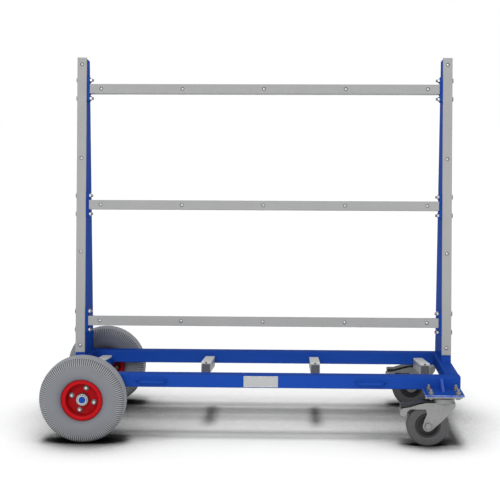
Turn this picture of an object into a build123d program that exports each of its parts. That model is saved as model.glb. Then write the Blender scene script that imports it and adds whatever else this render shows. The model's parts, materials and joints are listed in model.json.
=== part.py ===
from build123d import *
import math
import os

# Slab cart: a low frame of square tube on two fixed wheels and two braked swivel castors, with two
# leaning uprights and three rubber faced rails that sheets and slabs rest against.
# Millimetres, +X along the cart towards the castors, +Y towards the uprights' straight back, +Z up.
# The origin is on the floor, under the middle of the whole cart.

os.makedirs("parts", exist_ok=True)

# Frame
frame_length = 1200.0
frame_depth = 400.0
overall_height = 1155.0
tube_size = 40.0
tube_wall = 2.5
corner_to_wall_share = 1.6
end_cap_thickness = 3.0
weld_gap = 0.2

# Leaning face, which is the front of all the rubber strips
lean_angle = 7.0
face_foot_y = 20.0
strip_width = 30.0
strip_thickness = 6.0
strip_edge_round = 1.2
strip_foot_gap = 21.0

# Uprights and rails
upright_width = 30.0
upright_wall = 3.0
upright_below_strip = 3.0
upright_top_round = 12.0
rail_size = 30.0
rail_wall = 2.5
bottom_rail_height = 122.5
top_rail_below_top = 100.0
rail_strip_end_gap = 2.5
flange_thickness = 8.0
flange_height = 80.0
flange_corner_round = 5.0
flange_bolt_spacing = 59.0

# Screws that hold the rubber
rail_screw_count = 5
rail_screw_edge = 37.0
upright_screw_count = 4
upright_screw_edge = 22.0
screw_shank_diameter = 5.0
screw_head_diameter = 10.5
screw_head_height = 2.8
screw_socket_across = 3.2
screw_socket_depth = 1.6
screw_thread_past_wall = 6.0
counterbore_diameter = 12.0
counterbore_depth = 3.0
screw_clearance = 0.3

# Bolts and nuts of the rails and castors
bolt_diameter = 8.0
bolt_hole_diameter = 9.0
bolt_head_across = 13.0
bolt_head_height = 5.3
nut_height = 6.5
lock_nut_height = 8.0
hex_chamfer = 0.8
thread_clearance = 0.1
rail_thread_past_nut = 6.0
castor_thread_past_nut = 8.0

# Arms that the slabs stand on
arm_count = 4
arm_end_distance = 87.0
arms_off_middle = -4.0
arm_reach = 75.5
arm_above_face_foot = 1.0
pad_groove_width = 6.0
pad_groove_depth = 4.5
pad_end_gap = 1.0
pad_screw_edge = 9.0

# Fixed wheels
tyre_width = 84.0
tyre_to_tube_gap = 6.0
axle_inset = 69.0
tyre_bead_diameter = 101.0
tyre_bead_width = 51.4
tyre_widest_share = 0.36
tyre_wall_share = 0.6
tyre_shoulder_share = 0.8
tyre_crown_share = 0.85
rim_flange_diameter = 125.0
rim_sheet = 2.5
rim_halves_gap = 0.3
rim_corner_round = 1.8
rim_lip_round = 1.1
rim_seat_gap = 0.25
rim_bolt_circle = 70.0
rim_bolt_count = 4
rim_bolt_turn = -17.0
rim_thread_past_nut = 2.0
hub_diameter = 36.0
hub_length = 40.0
hub_fit = 0.05
bearing_diameter = 32.0
bearing_width = 7.0
bearing_seal_inner_diameter = 25.0
bearing_seal_outer_diameter = 29.0
bearing_seal_depth = 0.6

# Axle
axle_diameter = 20.0
axle_end_past_hub = 5.0
axle_chamfer = 1.5
running_fit = 0.05
working_gap = 0.3
axle_ring_diameter = 26.0
axle_ring_thickness = 1.2
axle_groove_depth = 0.6
sleeve_diameter = 28.0
hanger_thickness = 10.0
hanger_top_width = 80.0
hanger_boss_diameter = 40.0
axle_below_tubes = 25.0

# Castors
castor_to_tube_gap = 9.5
castor_trail = 46.0
castor_wheel_diameter = 125.0
castor_wheel_width = 37.0
castor_core_diameter = 70.0
castor_core_fit = 0.05
castor_hub_diameter = 28.0
castor_tread_round = 6.0
castor_rim_thickness = 5.0
castor_web_thickness = 12.0
castor_web_round = 3.0
castor_bolt_diameter = 10.0
castor_bolt_head_across = 17.0
castor_bolt_head_height = 6.4
head_plate_length = 105.0
head_plate_width = 85.0
head_plate_thickness = 4.0
head_plate_round = 8.0
castor_bolt_spacing_x = 80.0
castor_bolt_spacing_y = 60.0
race_diameter = 58.0
race_height = 3.7
drum_diameter = 67.0
drum_height = 14.5
drum_round = 3.0
crown_thickness = 3.0
crown_above_wheel = 4.5
cheek_thickness = 3.0
cheek_inside = 43.0
fork_foot_radius = 16.0
crown_past_kingpin = 33.5
kingpin_diameter = 12.0
kingpin_head_diameter = 18.0
kingpin_head_height = 1.8
kingpin_nut_across = 19.0
kingpin_nut_height = 6.0
spacer_diameter = 21.0

# Brake pedal
pedal_width = 38.0
pedal_web_width = 28.0
pedal_pin_diameter = 5.0
pedal_pin_head_diameter = 9.0
pedal_pin_head_height = 2.0
brake_gap = 2.8

# Castor mounting plates and their gussets
castor_plate_length = 115.0
castor_plate_thickness = 5.0
castor_plate_front_gap = 0.5
castor_plate_round = 3.0
gusset_thickness = 8.0
gusset_past_kingpin = 2.0
gusset_below_tube_top = 5.0
gusset_tip = 3.0

# Lashing bars and the blank plate
lashing_bar_diameter = 8.0
lashing_bar_span = 88.0
lashing_bar_flat = 66.0
lashing_bar_stand_off = 20.0
lashing_bar_bend = 8.0
lashing_bar_end_distance = 270.0
label_length = 104.0
label_height = 34.0
label_thickness = 0.8
label_round = 1.5

# One overrun serves all cuts
overrun = 10.0

# Places worked out from the sizes above
lean_cos = math.cos(math.radians(lean_angle))
lean_sin = math.sin(math.radians(lean_angle))
lean_tan = math.tan(math.radians(lean_angle))
castor_stack = crown_above_wheel + crown_thickness + drum_height + working_gap + race_height
castor_height = castor_wheel_diameter + castor_stack + head_plate_thickness
tube_bottom_z = castor_height
tyre_radius = tube_bottom_z - axle_below_tubes
wheel_track = frame_depth + tyre_width + 2 * tyre_to_tube_gap
castor_track = frame_depth + head_plate_width + 2 * castor_to_tube_gap
tube_corner = tube_wall * corner_to_wall_share
rail_corner = rail_wall * corner_to_wall_share
overall_length = tyre_radius - axle_inset + frame_length + bolt_head_height
left_end_x = -overall_length / 2 + tyre_radius - axle_inset
right_end_x = left_end_x + frame_length
centre_x = left_end_x + frame_length / 2
axle_x = left_end_x + axle_inset
front_y = -frame_depth / 2
back_y = frame_depth / 2
inner_front_y = front_y + tube_size
inner_back_y = back_y - tube_size
tube_middle_z = tube_bottom_z + tube_size / 2
tube_top_z = tube_bottom_z + tube_size
castor_plate_top_z = tube_bottom_z + castor_plate_thickness
face_length = (overall_height - tube_top_z) / lean_cos
rail_pitch = (face_length - top_rail_below_top - bottom_rail_height) / 2
rail_length = frame_length - 2 * (upright_width + flange_thickness)
rail_strip_length = rail_length - 2 * rail_strip_end_gap
upright_strip_length = face_length - strip_foot_gap
upright_strip_middle = strip_foot_gap + upright_strip_length / 2
upright_places = {"left": left_end_x, "right": right_end_x - upright_width}
rail_heights = {
    "bottom": bottom_rail_height,
    "middle": bottom_rail_height + rail_pitch,
    "top": bottom_rail_height + 2 * rail_pitch,
}
castor_x = right_end_x - castor_plate_length / 2
castor_wheel_x = castor_x - castor_trail
castor_axle_z = castor_wheel_diameter / 2
sides = {"front": -1, "rear": 1}

# Local x runs along the cart from its frame's middle, local y up the slope from the tubes' top,
# and local z out of the face towards the slabs.
face = Plane(origin=(centre_x, face_foot_y, tube_top_z), x_dir=(1, 0, 0), z_dir=(0, -lean_cos, lean_sin))
up_slope = Axis(face.origin, face.y_dir)


def keep(piece, name):
    """Label a finished piece and write it to its own file."""
    piece.part.label = name
    export_step(piece.part, f"parts/{name}.step")


def on_face(x, up, out):
    """A point given along, up and out of the leaning face."""
    return face.from_local_coords(Vector(x, up, out))


def spread(length, edge, count):
    """Evenly spaced places about zero, with the outer ones an edge distance from the ends."""
    pitch = (length - 2 * edge) / (count - 1)
    return [pitch * (step - (count - 1) / 2) for step in range(count)]


def square_tube(plane, length, size, wall, corner):
    """Hollow square section on a plane, drawn out to its length."""
    with BuildPart() as tube:
        with BuildSketch(plane):
            RectangleRounded(size, size, corner)
            RectangleRounded(size - 2 * wall, size - 2 * wall, corner - wall, mode=Mode.SUBTRACT)
        extrude(amount=length)
    return tube


def hex_bolt(diameter, across, head_height, length):
    """Bolt on the Z axis, its seat at zero, its head above and its shank below."""
    with BuildPart() as bolt:
        with BuildSketch():
            RegularPolygon(across / 2, 6, major_radius=False)
        extrude(amount=head_height)
        chamfer(bolt.faces().sort_by(Axis.Z)[-1].edges(), hex_chamfer)
        with BuildSketch():
            Circle(diameter / 2)
        extrude(amount=-length)
    return bolt


def hex_nut(diameter, across, height):
    """Nut on the Z axis, its seat at zero."""
    with BuildPart() as nut:
        with BuildSketch():
            RegularPolygon(across / 2, 6, major_radius=False)
        extrude(amount=height)
        chamfer(nut.faces().sort_by(Axis.Z)[-1].edges(), hex_chamfer)
        Hole(diameter / 2 + thread_clearance)
    return nut


def button_screw(grip):
    """Socket screw with a domed head, its seat at zero, going down through its grip."""
    shank = grip + screw_thread_past_wall
    with BuildPart() as screw:
        with BuildSketch(Plane.XZ):
            with BuildLine():
                Polyline(
                    (0, screw_head_height),
                    (0, -shank),
                    (screw_shank_diameter / 2, -shank),
                    (screw_shank_diameter / 2, 0),
                    (screw_head_diameter / 2, 0),
                    (screw_head_diameter / 2, screw_head_height / 4),
                )
                TangentArc(
                    (0, screw_head_height),
                    (screw_head_diameter / 2, screw_head_height / 4),
                    tangent=(1, 0),
                )
            make_face()
        revolve(axis=Axis.Z)
        with BuildSketch(Plane.XY.offset(screw_head_height)):
            RegularPolygon(screw_socket_across / 2, 6, major_radius=False)
        extrude(amount=-screw_socket_depth, mode=Mode.SUBTRACT)
    return screw


def ring(plane, outer_diameter, inner_diameter, length):
    """Plain ring on a plane, drawn out to its length."""
    with BuildPart() as made:
        with BuildSketch(plane):
            Circle(outer_diameter / 2)
            Circle(inner_diameter / 2, mode=Mode.SUBTRACT)
        extrude(amount=length)
    return made


# Long tubes of the base
tube_places = {"front_tube": front_y + tube_size / 2, "rear_tube": back_y - tube_size / 2}
for name, middle_y in tube_places.items():
    start = Plane(origin=(left_end_x, middle_y, tube_middle_z), x_dir=(0, 1, 0), z_dir=(1, 0, 0))
    keep(square_tube(start, frame_length, tube_size, tube_wall, tube_corner), name)

# End tubes of the base, butted between the long ones
end_tube_places = {"left_end_tube": left_end_x + tube_size / 2, "right_end_tube": right_end_x - tube_size / 2}
for name, middle_x in end_tube_places.items():
    start = Plane(origin=(middle_x, inner_front_y, tube_middle_z), x_dir=(-1, 0, 0), z_dir=(0, 1, 0))
    keep(square_tube(start, inner_back_y - inner_front_y, tube_size, tube_wall, tube_corner), name)

# Flush caps in the open ends of the long tubes
cap_size = tube_size - 2 * (tube_wall + weld_gap)
with BuildPart() as tube_end_caps:
    for end_x in (left_end_x, right_end_x - end_cap_thickness):
        for middle_y in tube_places.values():
            with BuildSketch(Plane(origin=(end_x, middle_y, tube_middle_z), x_dir=(0, 1, 0), z_dir=(1, 0, 0))):
                RectangleRounded(cap_size, cap_size, tube_corner - tube_wall)
            extrude(amount=end_cap_thickness)
keep(tube_end_caps, "tube_end_caps")


def upright_outline(inset, bottom_z):
    """Corners of an upright seen from its end, set in from its outer faces."""
    top_front = on_face(0, face_length - upright_below_strip - inset, -strip_thickness - inset)
    back = back_y - inset
    return [
        (top_front.Y - (top_front.Z - bottom_z) * lean_tan, bottom_z),
        (back, bottom_z),
        (back, top_front.Z - (back - top_front.Y) * lean_tan),
        (top_front.Y, top_front.Z),
    ]


# Uprights: tapered boxes of folded sheet, leaning in front and plumb behind
for name, start_x in upright_places.items():
    middle = start_x + upright_width / 2 - centre_x
    with BuildPart() as upright:
        with BuildSketch(Plane.YZ.offset(start_x)) as outside:
            with BuildLine():
                Polyline(*upright_outline(0, tube_top_z), close=True)
            make_face()
            fillet(outside.vertices().sort_by(Axis.Y)[-1], upright_top_round)
        extrude(amount=upright_width)
        with BuildSketch(Plane.YZ.offset(start_x + upright_wall)) as inside:
            with BuildLine():
                Polyline(*upright_outline(upright_wall, tube_top_z - overrun), close=True)
            make_face()
            fillet(inside.vertices().sort_by(Axis.Y)[-1], upright_top_round - upright_wall)
        extrude(amount=upright_width - 2 * upright_wall, mode=Mode.SUBTRACT)
        for height in rail_heights.values():
            for step in (-1, 1):
                hole = on_face(0, height + step * flange_bolt_spacing / 2, -strip_thickness - rail_size / 2)
                with BuildSketch(Plane.YZ.offset(start_x - overrun)):
                    with Locations((hole.Y, hole.Z)):
                        Circle(bolt_hole_diameter / 2)
                extrude(amount=upright_width + 2 * overrun, mode=Mode.SUBTRACT)
        with BuildSketch(face.offset(-strip_thickness)):
            for step in spread(upright_strip_length, upright_screw_edge, upright_screw_count):
                with Locations((middle, upright_strip_middle + step)):
                    Circle(screw_shank_diameter / 2 + screw_clearance)
        extrude(amount=-2 * upright_wall, mode=Mode.SUBTRACT)
    keep(upright, f"{name}_upright")

# Rails: square tubes between the uprights, square to the leaning face
for name, height in rail_heights.items():
    start = Plane(
        origin=on_face(-rail_length / 2, height, -strip_thickness - rail_size / 2),
        x_dir=face.y_dir,
        z_dir=(1, 0, 0),
    )
    with BuildPart() as rail:
        add(square_tube(start, rail_length, rail_size, rail_wall, rail_corner).part)
        with BuildSketch(face.offset(-strip_thickness)):
            for step in spread(rail_strip_length, rail_screw_edge, rail_screw_count):
                with Locations((step, height)):
                    Circle(screw_shank_diameter / 2 + screw_clearance)
        extrude(amount=-2 * rail_wall, mode=Mode.SUBTRACT)
    keep(rail, f"{name}_rail")

# Bolting flanges welded on both ends of each rail
with BuildPart() as rail_flanges:
    for height in rail_heights.values():
        for end_x in (-rail_length / 2 - flange_thickness, rail_length / 2):
            plane = Plane(
                origin=on_face(end_x, height, -strip_thickness - rail_size / 2),
                x_dir=face.y_dir,
                z_dir=(1, 0, 0),
            )
            with BuildSketch(plane):
                RectangleRounded(flange_height, rail_size, flange_corner_round)
                with GridLocations(flange_bolt_spacing, 0, 2, 1):
                    Circle(bolt_hole_diameter / 2, mode=Mode.SUBTRACT)
            extrude(amount=flange_thickness)
keep(rail_flanges, "rail_flanges")


def rubber_strip(length, width, middle, screw_places):
    """Rubber strip on the leaning face, with its front edges eased and its screws sunk."""
    with BuildPart() as strip:
        with BuildSketch(face.offset(-strip_thickness)):
            with Locations(middle):
                Rectangle(length, width)
        extrude(amount=strip_thickness)
        front = strip.faces().sort_by(Axis(face.origin, face.z_dir))[-1]
        fillet(front.edges(), strip_edge_round)
        with Locations(*[Plane(on_face(x, up, 0), x_dir=(1, 0, 0), z_dir=face.z_dir) for x, up in screw_places]):
            CounterBoreHole(
                screw_shank_diameter / 2 + screw_clearance,
                counterbore_diameter / 2,
                counterbore_depth,
                depth=strip_thickness + overrun,
            )
    return strip


# Rubber strips on the rails and uprights
screw_places = []
for name, height in rail_heights.items():
    places = [(step, height) for step in spread(rail_strip_length, rail_screw_edge, rail_screw_count)]
    keep(rubber_strip(rail_strip_length, strip_width, (0, height), places), f"{name}_rail_strip")
    screw_places += places
for name, start_x in upright_places.items():
    middle = start_x + upright_width / 2 - centre_x
    steps = spread(upright_strip_length, upright_screw_edge, upright_screw_count)
    places = [(middle, upright_strip_middle + step) for step in steps]
    keep(
        rubber_strip(strip_width, upright_strip_length, (middle, upright_strip_middle), places),
        f"{name}_upright_strip",
    )
    screw_places += places

# Arms: cut from the rails' tube, standing out from the rear tube square to the leaning face
arm_top = arm_above_face_foot - strip_thickness
arm_pitch = (frame_length - 2 * arm_end_distance) / (arm_count - 1)
arm_places = [arms_off_middle + arm_pitch * (step - (arm_count - 1) / 2) for step in range(arm_count)]
arm_back_reach = (inner_back_y - face_foot_y + tube_size) / lean_cos
rear_tube_face = Plane(origin=(0, inner_back_y, 0), x_dir=(1, 0, 0), z_dir=(0, -1, 0))
with BuildPart() as support_arms:
    with BuildSketch(face.offset(arm_reach)):
        for place in arm_places:
            with Locations((place, arm_top - rail_size / 2)):
                RectangleRounded(rail_size, rail_size, rail_corner)
                RectangleRounded(
                    rail_size - 2 * rail_wall,
                    rail_size - 2 * rail_wall,
                    rail_corner - rail_wall,
                    mode=Mode.SUBTRACT,
                )
    extrude(amount=-arm_reach - arm_back_reach)
    split(bisect_by=rear_tube_face, keep=Keep.TOP)
    pad_screw_planes = []
    for place in arm_places:
        back_out = (face_foot_y - inner_back_y) / lean_cos + pad_screw_edge + strip_thickness
        for out in (arm_reach - pad_end_gap - pad_screw_edge, back_out):
            seat = on_face(place, arm_top + strip_thickness - counterbore_depth, out)
            pad_screw_planes.append(Plane(seat, x_dir=(1, 0, 0), z_dir=face.y_dir))
    with Locations(*pad_screw_planes):
        Cylinder(
            screw_shank_diameter / 2 + screw_clearance,
            2 * (strip_thickness + rail_wall),
            mode=Mode.SUBTRACT,
        )
keep(support_arms, "support_arms")

# Plugs in the arms' front ends
plug_size = rail_size - 2 * (rail_wall + weld_gap)
with BuildPart() as arm_end_plugs:
    with BuildSketch(face.offset(arm_reach)):
        for place in arm_places:
            with Locations((place, arm_top - rail_size / 2)):
                RectangleRounded(plug_size, plug_size, rail_corner - rail_wall)
    extrude(amount=-end_cap_thickness)
keep(arm_end_plugs, "arm_end_plugs")

# Rubber pads along the arms
with BuildPart() as support_pads:
    with BuildSketch(face.offset(arm_reach - pad_end_gap)):
        for place in arm_places:
            with Locations((place, arm_top + strip_thickness / 2)):
                Rectangle(rail_size, strip_thickness)
            with Locations((place, arm_top + pad_groove_depth / 2)):
                Rectangle(pad_groove_width, pad_groove_depth, mode=Mode.SUBTRACT)
    extrude(amount=-arm_reach - arm_back_reach)
    split(bisect_by=rear_tube_face.offset(pad_end_gap), keep=Keep.TOP)
    fillet(support_pads.faces().group_by(up_slope)[-1].edges(), strip_edge_round)
    with Locations(*[plane.offset(counterbore_depth) for plane in pad_screw_planes]):
        CounterBoreHole(
            screw_shank_diameter / 2 + screw_clearance,
            counterbore_diameter / 2,
            counterbore_depth,
            depth=strip_thickness + overrun,
        )
keep(support_pads, "support_pads")

# Screws of all the strips and pads
strip_screw = button_screw(strip_thickness - counterbore_depth + upright_wall)
with BuildPart() as strip_screws:
    with Locations(
        *[Plane(on_face(x, up, -counterbore_depth), x_dir=(1, 0, 0), z_dir=face.z_dir) for x, up in screw_places]
    ):
        add(strip_screw.part)
    with Locations(*pad_screw_planes):
        add(strip_screw.part)
keep(strip_screws, "strip_screws")

# Bolts through the uprights and flanges, with heads on the outside and nuts against the flanges
rail_bolt = hex_bolt(
    bolt_diameter,
    bolt_head_across,
    bolt_head_height,
    flange_thickness + upright_width + nut_height + rail_thread_past_nut,
)
rail_nut = hex_nut(bolt_diameter, bolt_head_across, nut_height)
head_planes = []
nut_planes = []
for height in rail_heights.values():
    for step in (-1, 1):
        for end in (-1, 1):
            up = height + step * flange_bolt_spacing / 2
            depth = -strip_thickness - rail_size / 2
            inner = on_face(end * rail_length / 2, up, depth)
            outer = on_face(end * frame_length / 2, up, depth)
            head_planes.append(Plane(outer, x_dir=face.y_dir, z_dir=(end, 0, 0)))
            nut_planes.append(Plane(inner, x_dir=face.y_dir, z_dir=(-end, 0, 0)))
with BuildPart() as rail_bolts:
    with Locations(*head_planes):
        add(rail_bolt.part)
keep(rail_bolts, "rail_bolts")
with BuildPart() as rail_nuts:
    with Locations(*nut_planes):
        add(rail_nut.part)
keep(rail_nuts, "rail_nuts")

# Castor mounting plates, welded to the long tubes' outer faces level with their undersides
castor_plate_front = castor_track / 2 + head_plate_width / 2 + castor_plate_front_gap
castor_plate_depth = castor_plate_front - back_y
bolt_grid = [
    (step_x * castor_bolt_spacing_x / 2, step_y * castor_bolt_spacing_y / 2)
    for step_x in (-1, 1)
    for step_y in (-1, 1)
]
for name, side in sides.items():
    with BuildPart() as castor_plate:
        with BuildSketch(Plane.XY.offset(castor_height)):
            with Locations((castor_x, side * (back_y + castor_plate_depth / 2))):
                RectangleRounded(castor_plate_length, castor_plate_depth, castor_plate_round)
            with Locations(*[(castor_x + x, side * castor_track / 2 + y) for x, y in bolt_grid]):
                Circle(bolt_hole_diameter / 2, mode=Mode.SUBTRACT)
        extrude(amount=castor_plate_thickness)
    keep(castor_plate, f"{name}_castor_plate")

# Gussets between the long tubes' faces and the mounting plates
gusset_top = tube_top_z - gusset_below_tube_top
gusset_reach = castor_track / 2 + gusset_past_kingpin - back_y
with BuildPart() as plate_gussets:
    for side in sides.values():
        with BuildSketch(Plane.YZ.offset(castor_x - gusset_thickness / 2)):
            with BuildLine():
                Polyline(
                    (side * back_y, castor_plate_top_z),
                    (side * (back_y + gusset_reach), castor_plate_top_z),
                    (side * (back_y + gusset_reach), castor_plate_top_z + gusset_tip),
                    (side * (back_y + gusset_tip), gusset_top),
                    (side * back_y, gusset_top),
                    close=True,
                )
            make_face()
        extrude(amount=gusset_thickness)
keep(plate_gussets, "plate_gussets")

# Lashing bars: bent round bar standing off the front tube
bar_y = front_y - lashing_bar_stand_off
lashing_bar_from_middle = frame_length / 2 - lashing_bar_end_distance
with BuildPart() as lashing_bars:
    for direction in (-1, 1):
        bar_x = centre_x + direction * lashing_bar_from_middle
        run_in = (lashing_bar_span - lashing_bar_flat) / 2
        foot_y = front_y + lashing_bar_stand_off
        with BuildLine() as bar_path:
            FilletPolyline(
                (bar_x - lashing_bar_span / 2 - run_in, foot_y, tube_middle_z),
                (bar_x - lashing_bar_flat / 2, bar_y, tube_middle_z),
                (bar_x + lashing_bar_flat / 2, bar_y, tube_middle_z),
                (bar_x + lashing_bar_span / 2 + run_in, foot_y, tube_middle_z),
                radius=lashing_bar_bend,
            )
        with BuildSketch(Plane(bar_path.line @ 0, z_dir=bar_path.line % 0)):
            Circle(lashing_bar_diameter / 2)
        sweep(path=bar_path.line)
    split(bisect_by=Plane(origin=(0, front_y, 0), x_dir=(1, 0, 0), z_dir=(0, -1, 0)), keep=Keep.TOP)
keep(lashing_bars, "lashing_bars")

# Blank plate on the front tube
with BuildPart() as label_plate:
    with BuildSketch(Plane(origin=(centre_x, front_y, tube_middle_z), x_dir=(1, 0, 0), z_dir=(0, -1, 0))):
        RectangleRounded(label_length, label_height, label_round)
    extrude(amount=label_thickness)
keep(label_plate, "label_plate")

# Axle: one bar under both long tubes, grooved for its rings
wheel_middle = wheel_track / 2
axle_half = wheel_middle + hub_length / 2 + axle_end_past_hub
ring_inner = wheel_middle + hub_length / 2 + working_gap
axle_line = Axis((axle_x, 0, tyre_radius), (0, 1, 0))


def across(y):
    """Plane square to the axle at a distance along it, its normal towards the back."""
    return Plane(origin=(axle_x, y, tyre_radius), x_dir=(1, 0, 0), z_dir=(0, 1, 0))


with BuildPart() as axle:
    with BuildSketch(across(-axle_half)):
        Circle(axle_diameter / 2)
    extrude(amount=2 * axle_half)
    chamfer(axle.edges().filter_by(GeomType.CIRCLE), axle_chamfer)
    for y in (-ring_inner - axle_ring_thickness, ring_inner):
        with BuildSketch(across(y)):
            Circle(axle_diameter / 2 + axle_groove_depth)
            Circle(axle_diameter / 2 - axle_groove_depth, mode=Mode.SUBTRACT)
        extrude(amount=axle_ring_thickness, mode=Mode.SUBTRACT)
keep(axle, "axle")

# Retaining rings in the axle's grooves
with BuildPart() as axle_rings:
    for y in (-ring_inner - axle_ring_thickness, ring_inner):
        add(ring(across(y), axle_ring_diameter, axle_diameter - 2 * axle_groove_depth, axle_ring_thickness).part)
keep(axle_rings, "axle_rings")

# Hangers that carry the axle under the long tubes
hanger_outer_y = back_y - tube_size / 2 + hanger_thickness / 2
with BuildPart() as axle_hangers:
    for y in (-hanger_outer_y, hanger_outer_y - hanger_thickness):
        drop = tube_bottom_z - tyre_radius
        with BuildSketch(across(y)):
            with BuildLine():
                Polyline(
                    (-hanger_top_width / 2, -drop),
                    (hanger_top_width / 2, -drop),
                    (hanger_boss_diameter / 2, 0),
                    (-hanger_boss_diameter / 2, 0),
                    close=True,
                )
            make_face()
            Circle(hanger_boss_diameter / 2)
            Circle(axle_diameter / 2 + hub_fit, mode=Mode.SUBTRACT)
        extrude(amount=hanger_thickness)
keep(axle_hangers, "axle_hangers")

# Sleeves that space the hubs from the hangers
sleeve_length = wheel_middle - hub_length / 2 - working_gap - hanger_outer_y
with BuildPart() as axle_sleeves:
    for y in (-hanger_outer_y - sleeve_length, hanger_outer_y):
        add(ring(across(y), sleeve_diameter, axle_diameter + 2 * hub_fit, sleeve_length).part)
keep(axle_sleeves, "axle_sleeves")


def section_plane(side):
    """Plane through the axle at a wheel, local x outwards and local y up from the axle."""
    return Plane(
        origin=(axle_x, side * wheel_middle, tyre_radius), x_dir=(0, side, 0), z_dir=(side, 0, 0)
    )


bead_radius = tyre_bead_diameter / 2
flange_radius = rim_flange_diameter / 2
flange_inside = tyre_bead_width / 2 + rim_seat_gap
flange_outside = flange_inside + rim_sheet
disc_inside = rim_halves_gap / 2
disc_outside = disc_inside + rim_sheet
barrel_radius = bead_radius - rim_seat_gap
hub_radius = hub_diameter / 2
tyre_wall_height = tyre_radius - flange_radius


def tyre_of(side):
    """Solid tyre, its beads between the rim's flanges."""
    half = tyre_width / 2
    bead = tyre_bead_width / 2
    lip = flange_radius + rim_seat_gap
    widest = flange_radius + tyre_wall_height * tyre_widest_share
    wall = (bead + (half - bead) * tyre_wall_share, lip)
    above_wall = (half, lip + (widest - lip) * tyre_wall_share)
    shoulder = (half, widest + (tyre_radius - widest) * tyre_shoulder_share)
    crown = (half * tyre_crown_share, tyre_radius)
    with BuildPart() as tyre:
        with BuildSketch(section_plane(side)):
            with BuildLine() as outline:
                Line((0, bead_radius), (bead, bead_radius))
                Line((bead, bead_radius), (bead, lip))
                Bezier((bead, lip), wall, above_wall, (half, widest))
                Bezier((half, widest), shoulder, crown, (0, tyre_radius))
                mirror(about=Plane.YZ)
            make_face()
        revolve(axis=axle_line)
    return tyre


def rim_half(side, facing):
    """One pressed half of the split rim: disc, barrel and flange."""
    with BuildPart() as half:
        with BuildSketch(section_plane(side)) as profile:
            with BuildLine():
                Polyline(
                    (facing * disc_inside, hub_radius + hub_fit),
                    (facing * disc_inside, barrel_radius),
                    (facing * flange_inside, barrel_radius),
                    (facing * flange_inside, flange_radius),
                    (facing * flange_outside, flange_radius),
                    (facing * flange_outside, barrel_radius - rim_sheet),
                    (facing * disc_outside, barrel_radius - rim_sheet),
                    (facing * disc_outside, hub_radius + hub_fit),
                    close=True,
                )
            make_face()
            bends = [
                corner for corner in profile.vertices()
                if abs(corner.Z - tyre_radius - flange_radius) > rim_sheet
                and corner.Z - tyre_radius > hub_radius + rim_sheet
            ]
            fillet(bends, rim_corner_round)
        revolve(axis=axle_line)
        lip_edges = [edge for edge in half.edges().filter_by(GeomType.CIRCLE) if edge.radius > flange_radius - rim_sheet]
        fillet(lip_edges, rim_lip_round)
        with Locations(across(side * wheel_middle)):
            with PolarLocations(rim_bolt_circle / 2, rim_bolt_count, start_angle=-rim_bolt_turn):
                Cylinder(bolt_hole_diameter / 2, 4 * flange_outside, mode=Mode.SUBTRACT)
    return half


def hub_of(side):
    """Hub tube with a bearing seat at each end."""
    with BuildPart() as hub:
        start = across(side * wheel_middle - hub_length / 2)
        add(ring(start, hub_diameter, bearing_diameter + 2 * hub_fit, hub_length).part)
    return hub


def bearings_of(side):
    """Pair of ball bearings with sealed faces."""
    seal_width = (bearing_seal_outer_diameter - bearing_seal_inner_diameter) / 2
    with BuildPart() as bearings:
        for end in (-1, 1):
            outer_y = side * wheel_middle + end * hub_length / 2
            start = across(min(outer_y, outer_y - end * bearing_width))
            add(ring(start, bearing_diameter, axle_diameter + 2 * running_fit, bearing_width).part)
            with BuildSketch(across(outer_y)):
                Circle(bearing_seal_inner_diameter / 2 + seal_width)
                Circle(bearing_seal_inner_diameter / 2, mode=Mode.SUBTRACT)
            extrude(amount=-end * bearing_seal_depth, mode=Mode.SUBTRACT)
    return bearings


def rim_bolts_of(side):
    """Bolts that clamp the rim halves, heads outside and nuts inside."""
    grip = 2 * disc_outside
    bolt = hex_bolt(bolt_diameter, bolt_head_across, bolt_head_height, grip + nut_height + rim_thread_past_nut)
    nut = hex_nut(bolt_diameter, bolt_head_across, nut_height)
    with BuildPart() as bolts:
        for step in range(rim_bolt_count):
            turn = math.radians(rim_bolt_turn + 360 * step / rim_bolt_count)
            x = axle_x + rim_bolt_circle / 2 * math.cos(turn)
            z = tyre_radius + rim_bolt_circle / 2 * math.sin(turn)
            y = side * wheel_middle
            with Locations(Plane((x, y + side * disc_outside, z), x_dir=(1, 0, 0), z_dir=(0, side, 0))):
                add(bolt.part)
            with Locations(Plane((x, y - side * disc_outside, z), x_dir=(1, 0, 0), z_dir=(0, -side, 0))):
                add(nut.part)
    return bolts


# Fixed wheels
for name, side in sides.items():
    keep(tyre_of(side), f"{name}_tyre")
    keep(rim_half(side, 1), f"{name}_outer_rim")
    keep(rim_half(side, -1), f"{name}_inner_rim")
    keep(hub_of(side), f"{name}_hub")
    keep(bearings_of(side), f"{name}_bearings")
    keep(rim_bolts_of(side), f"{name}_rim_bolts")

# Heights through a castor, from its wheel up to its mounting plate
crown_bottom_z = castor_wheel_diameter + crown_above_wheel
crown_top_z = crown_bottom_z + crown_thickness
plate_bottom_z = castor_height - head_plate_thickness
race_bottom_z = plate_bottom_z - race_height
drum_top_z = race_bottom_z - working_gap
cheek_outside = cheek_inside / 2 + cheek_thickness
cheek_end_x = castor_x + crown_past_kingpin
wheel_radius = castor_wheel_diameter / 2

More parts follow.
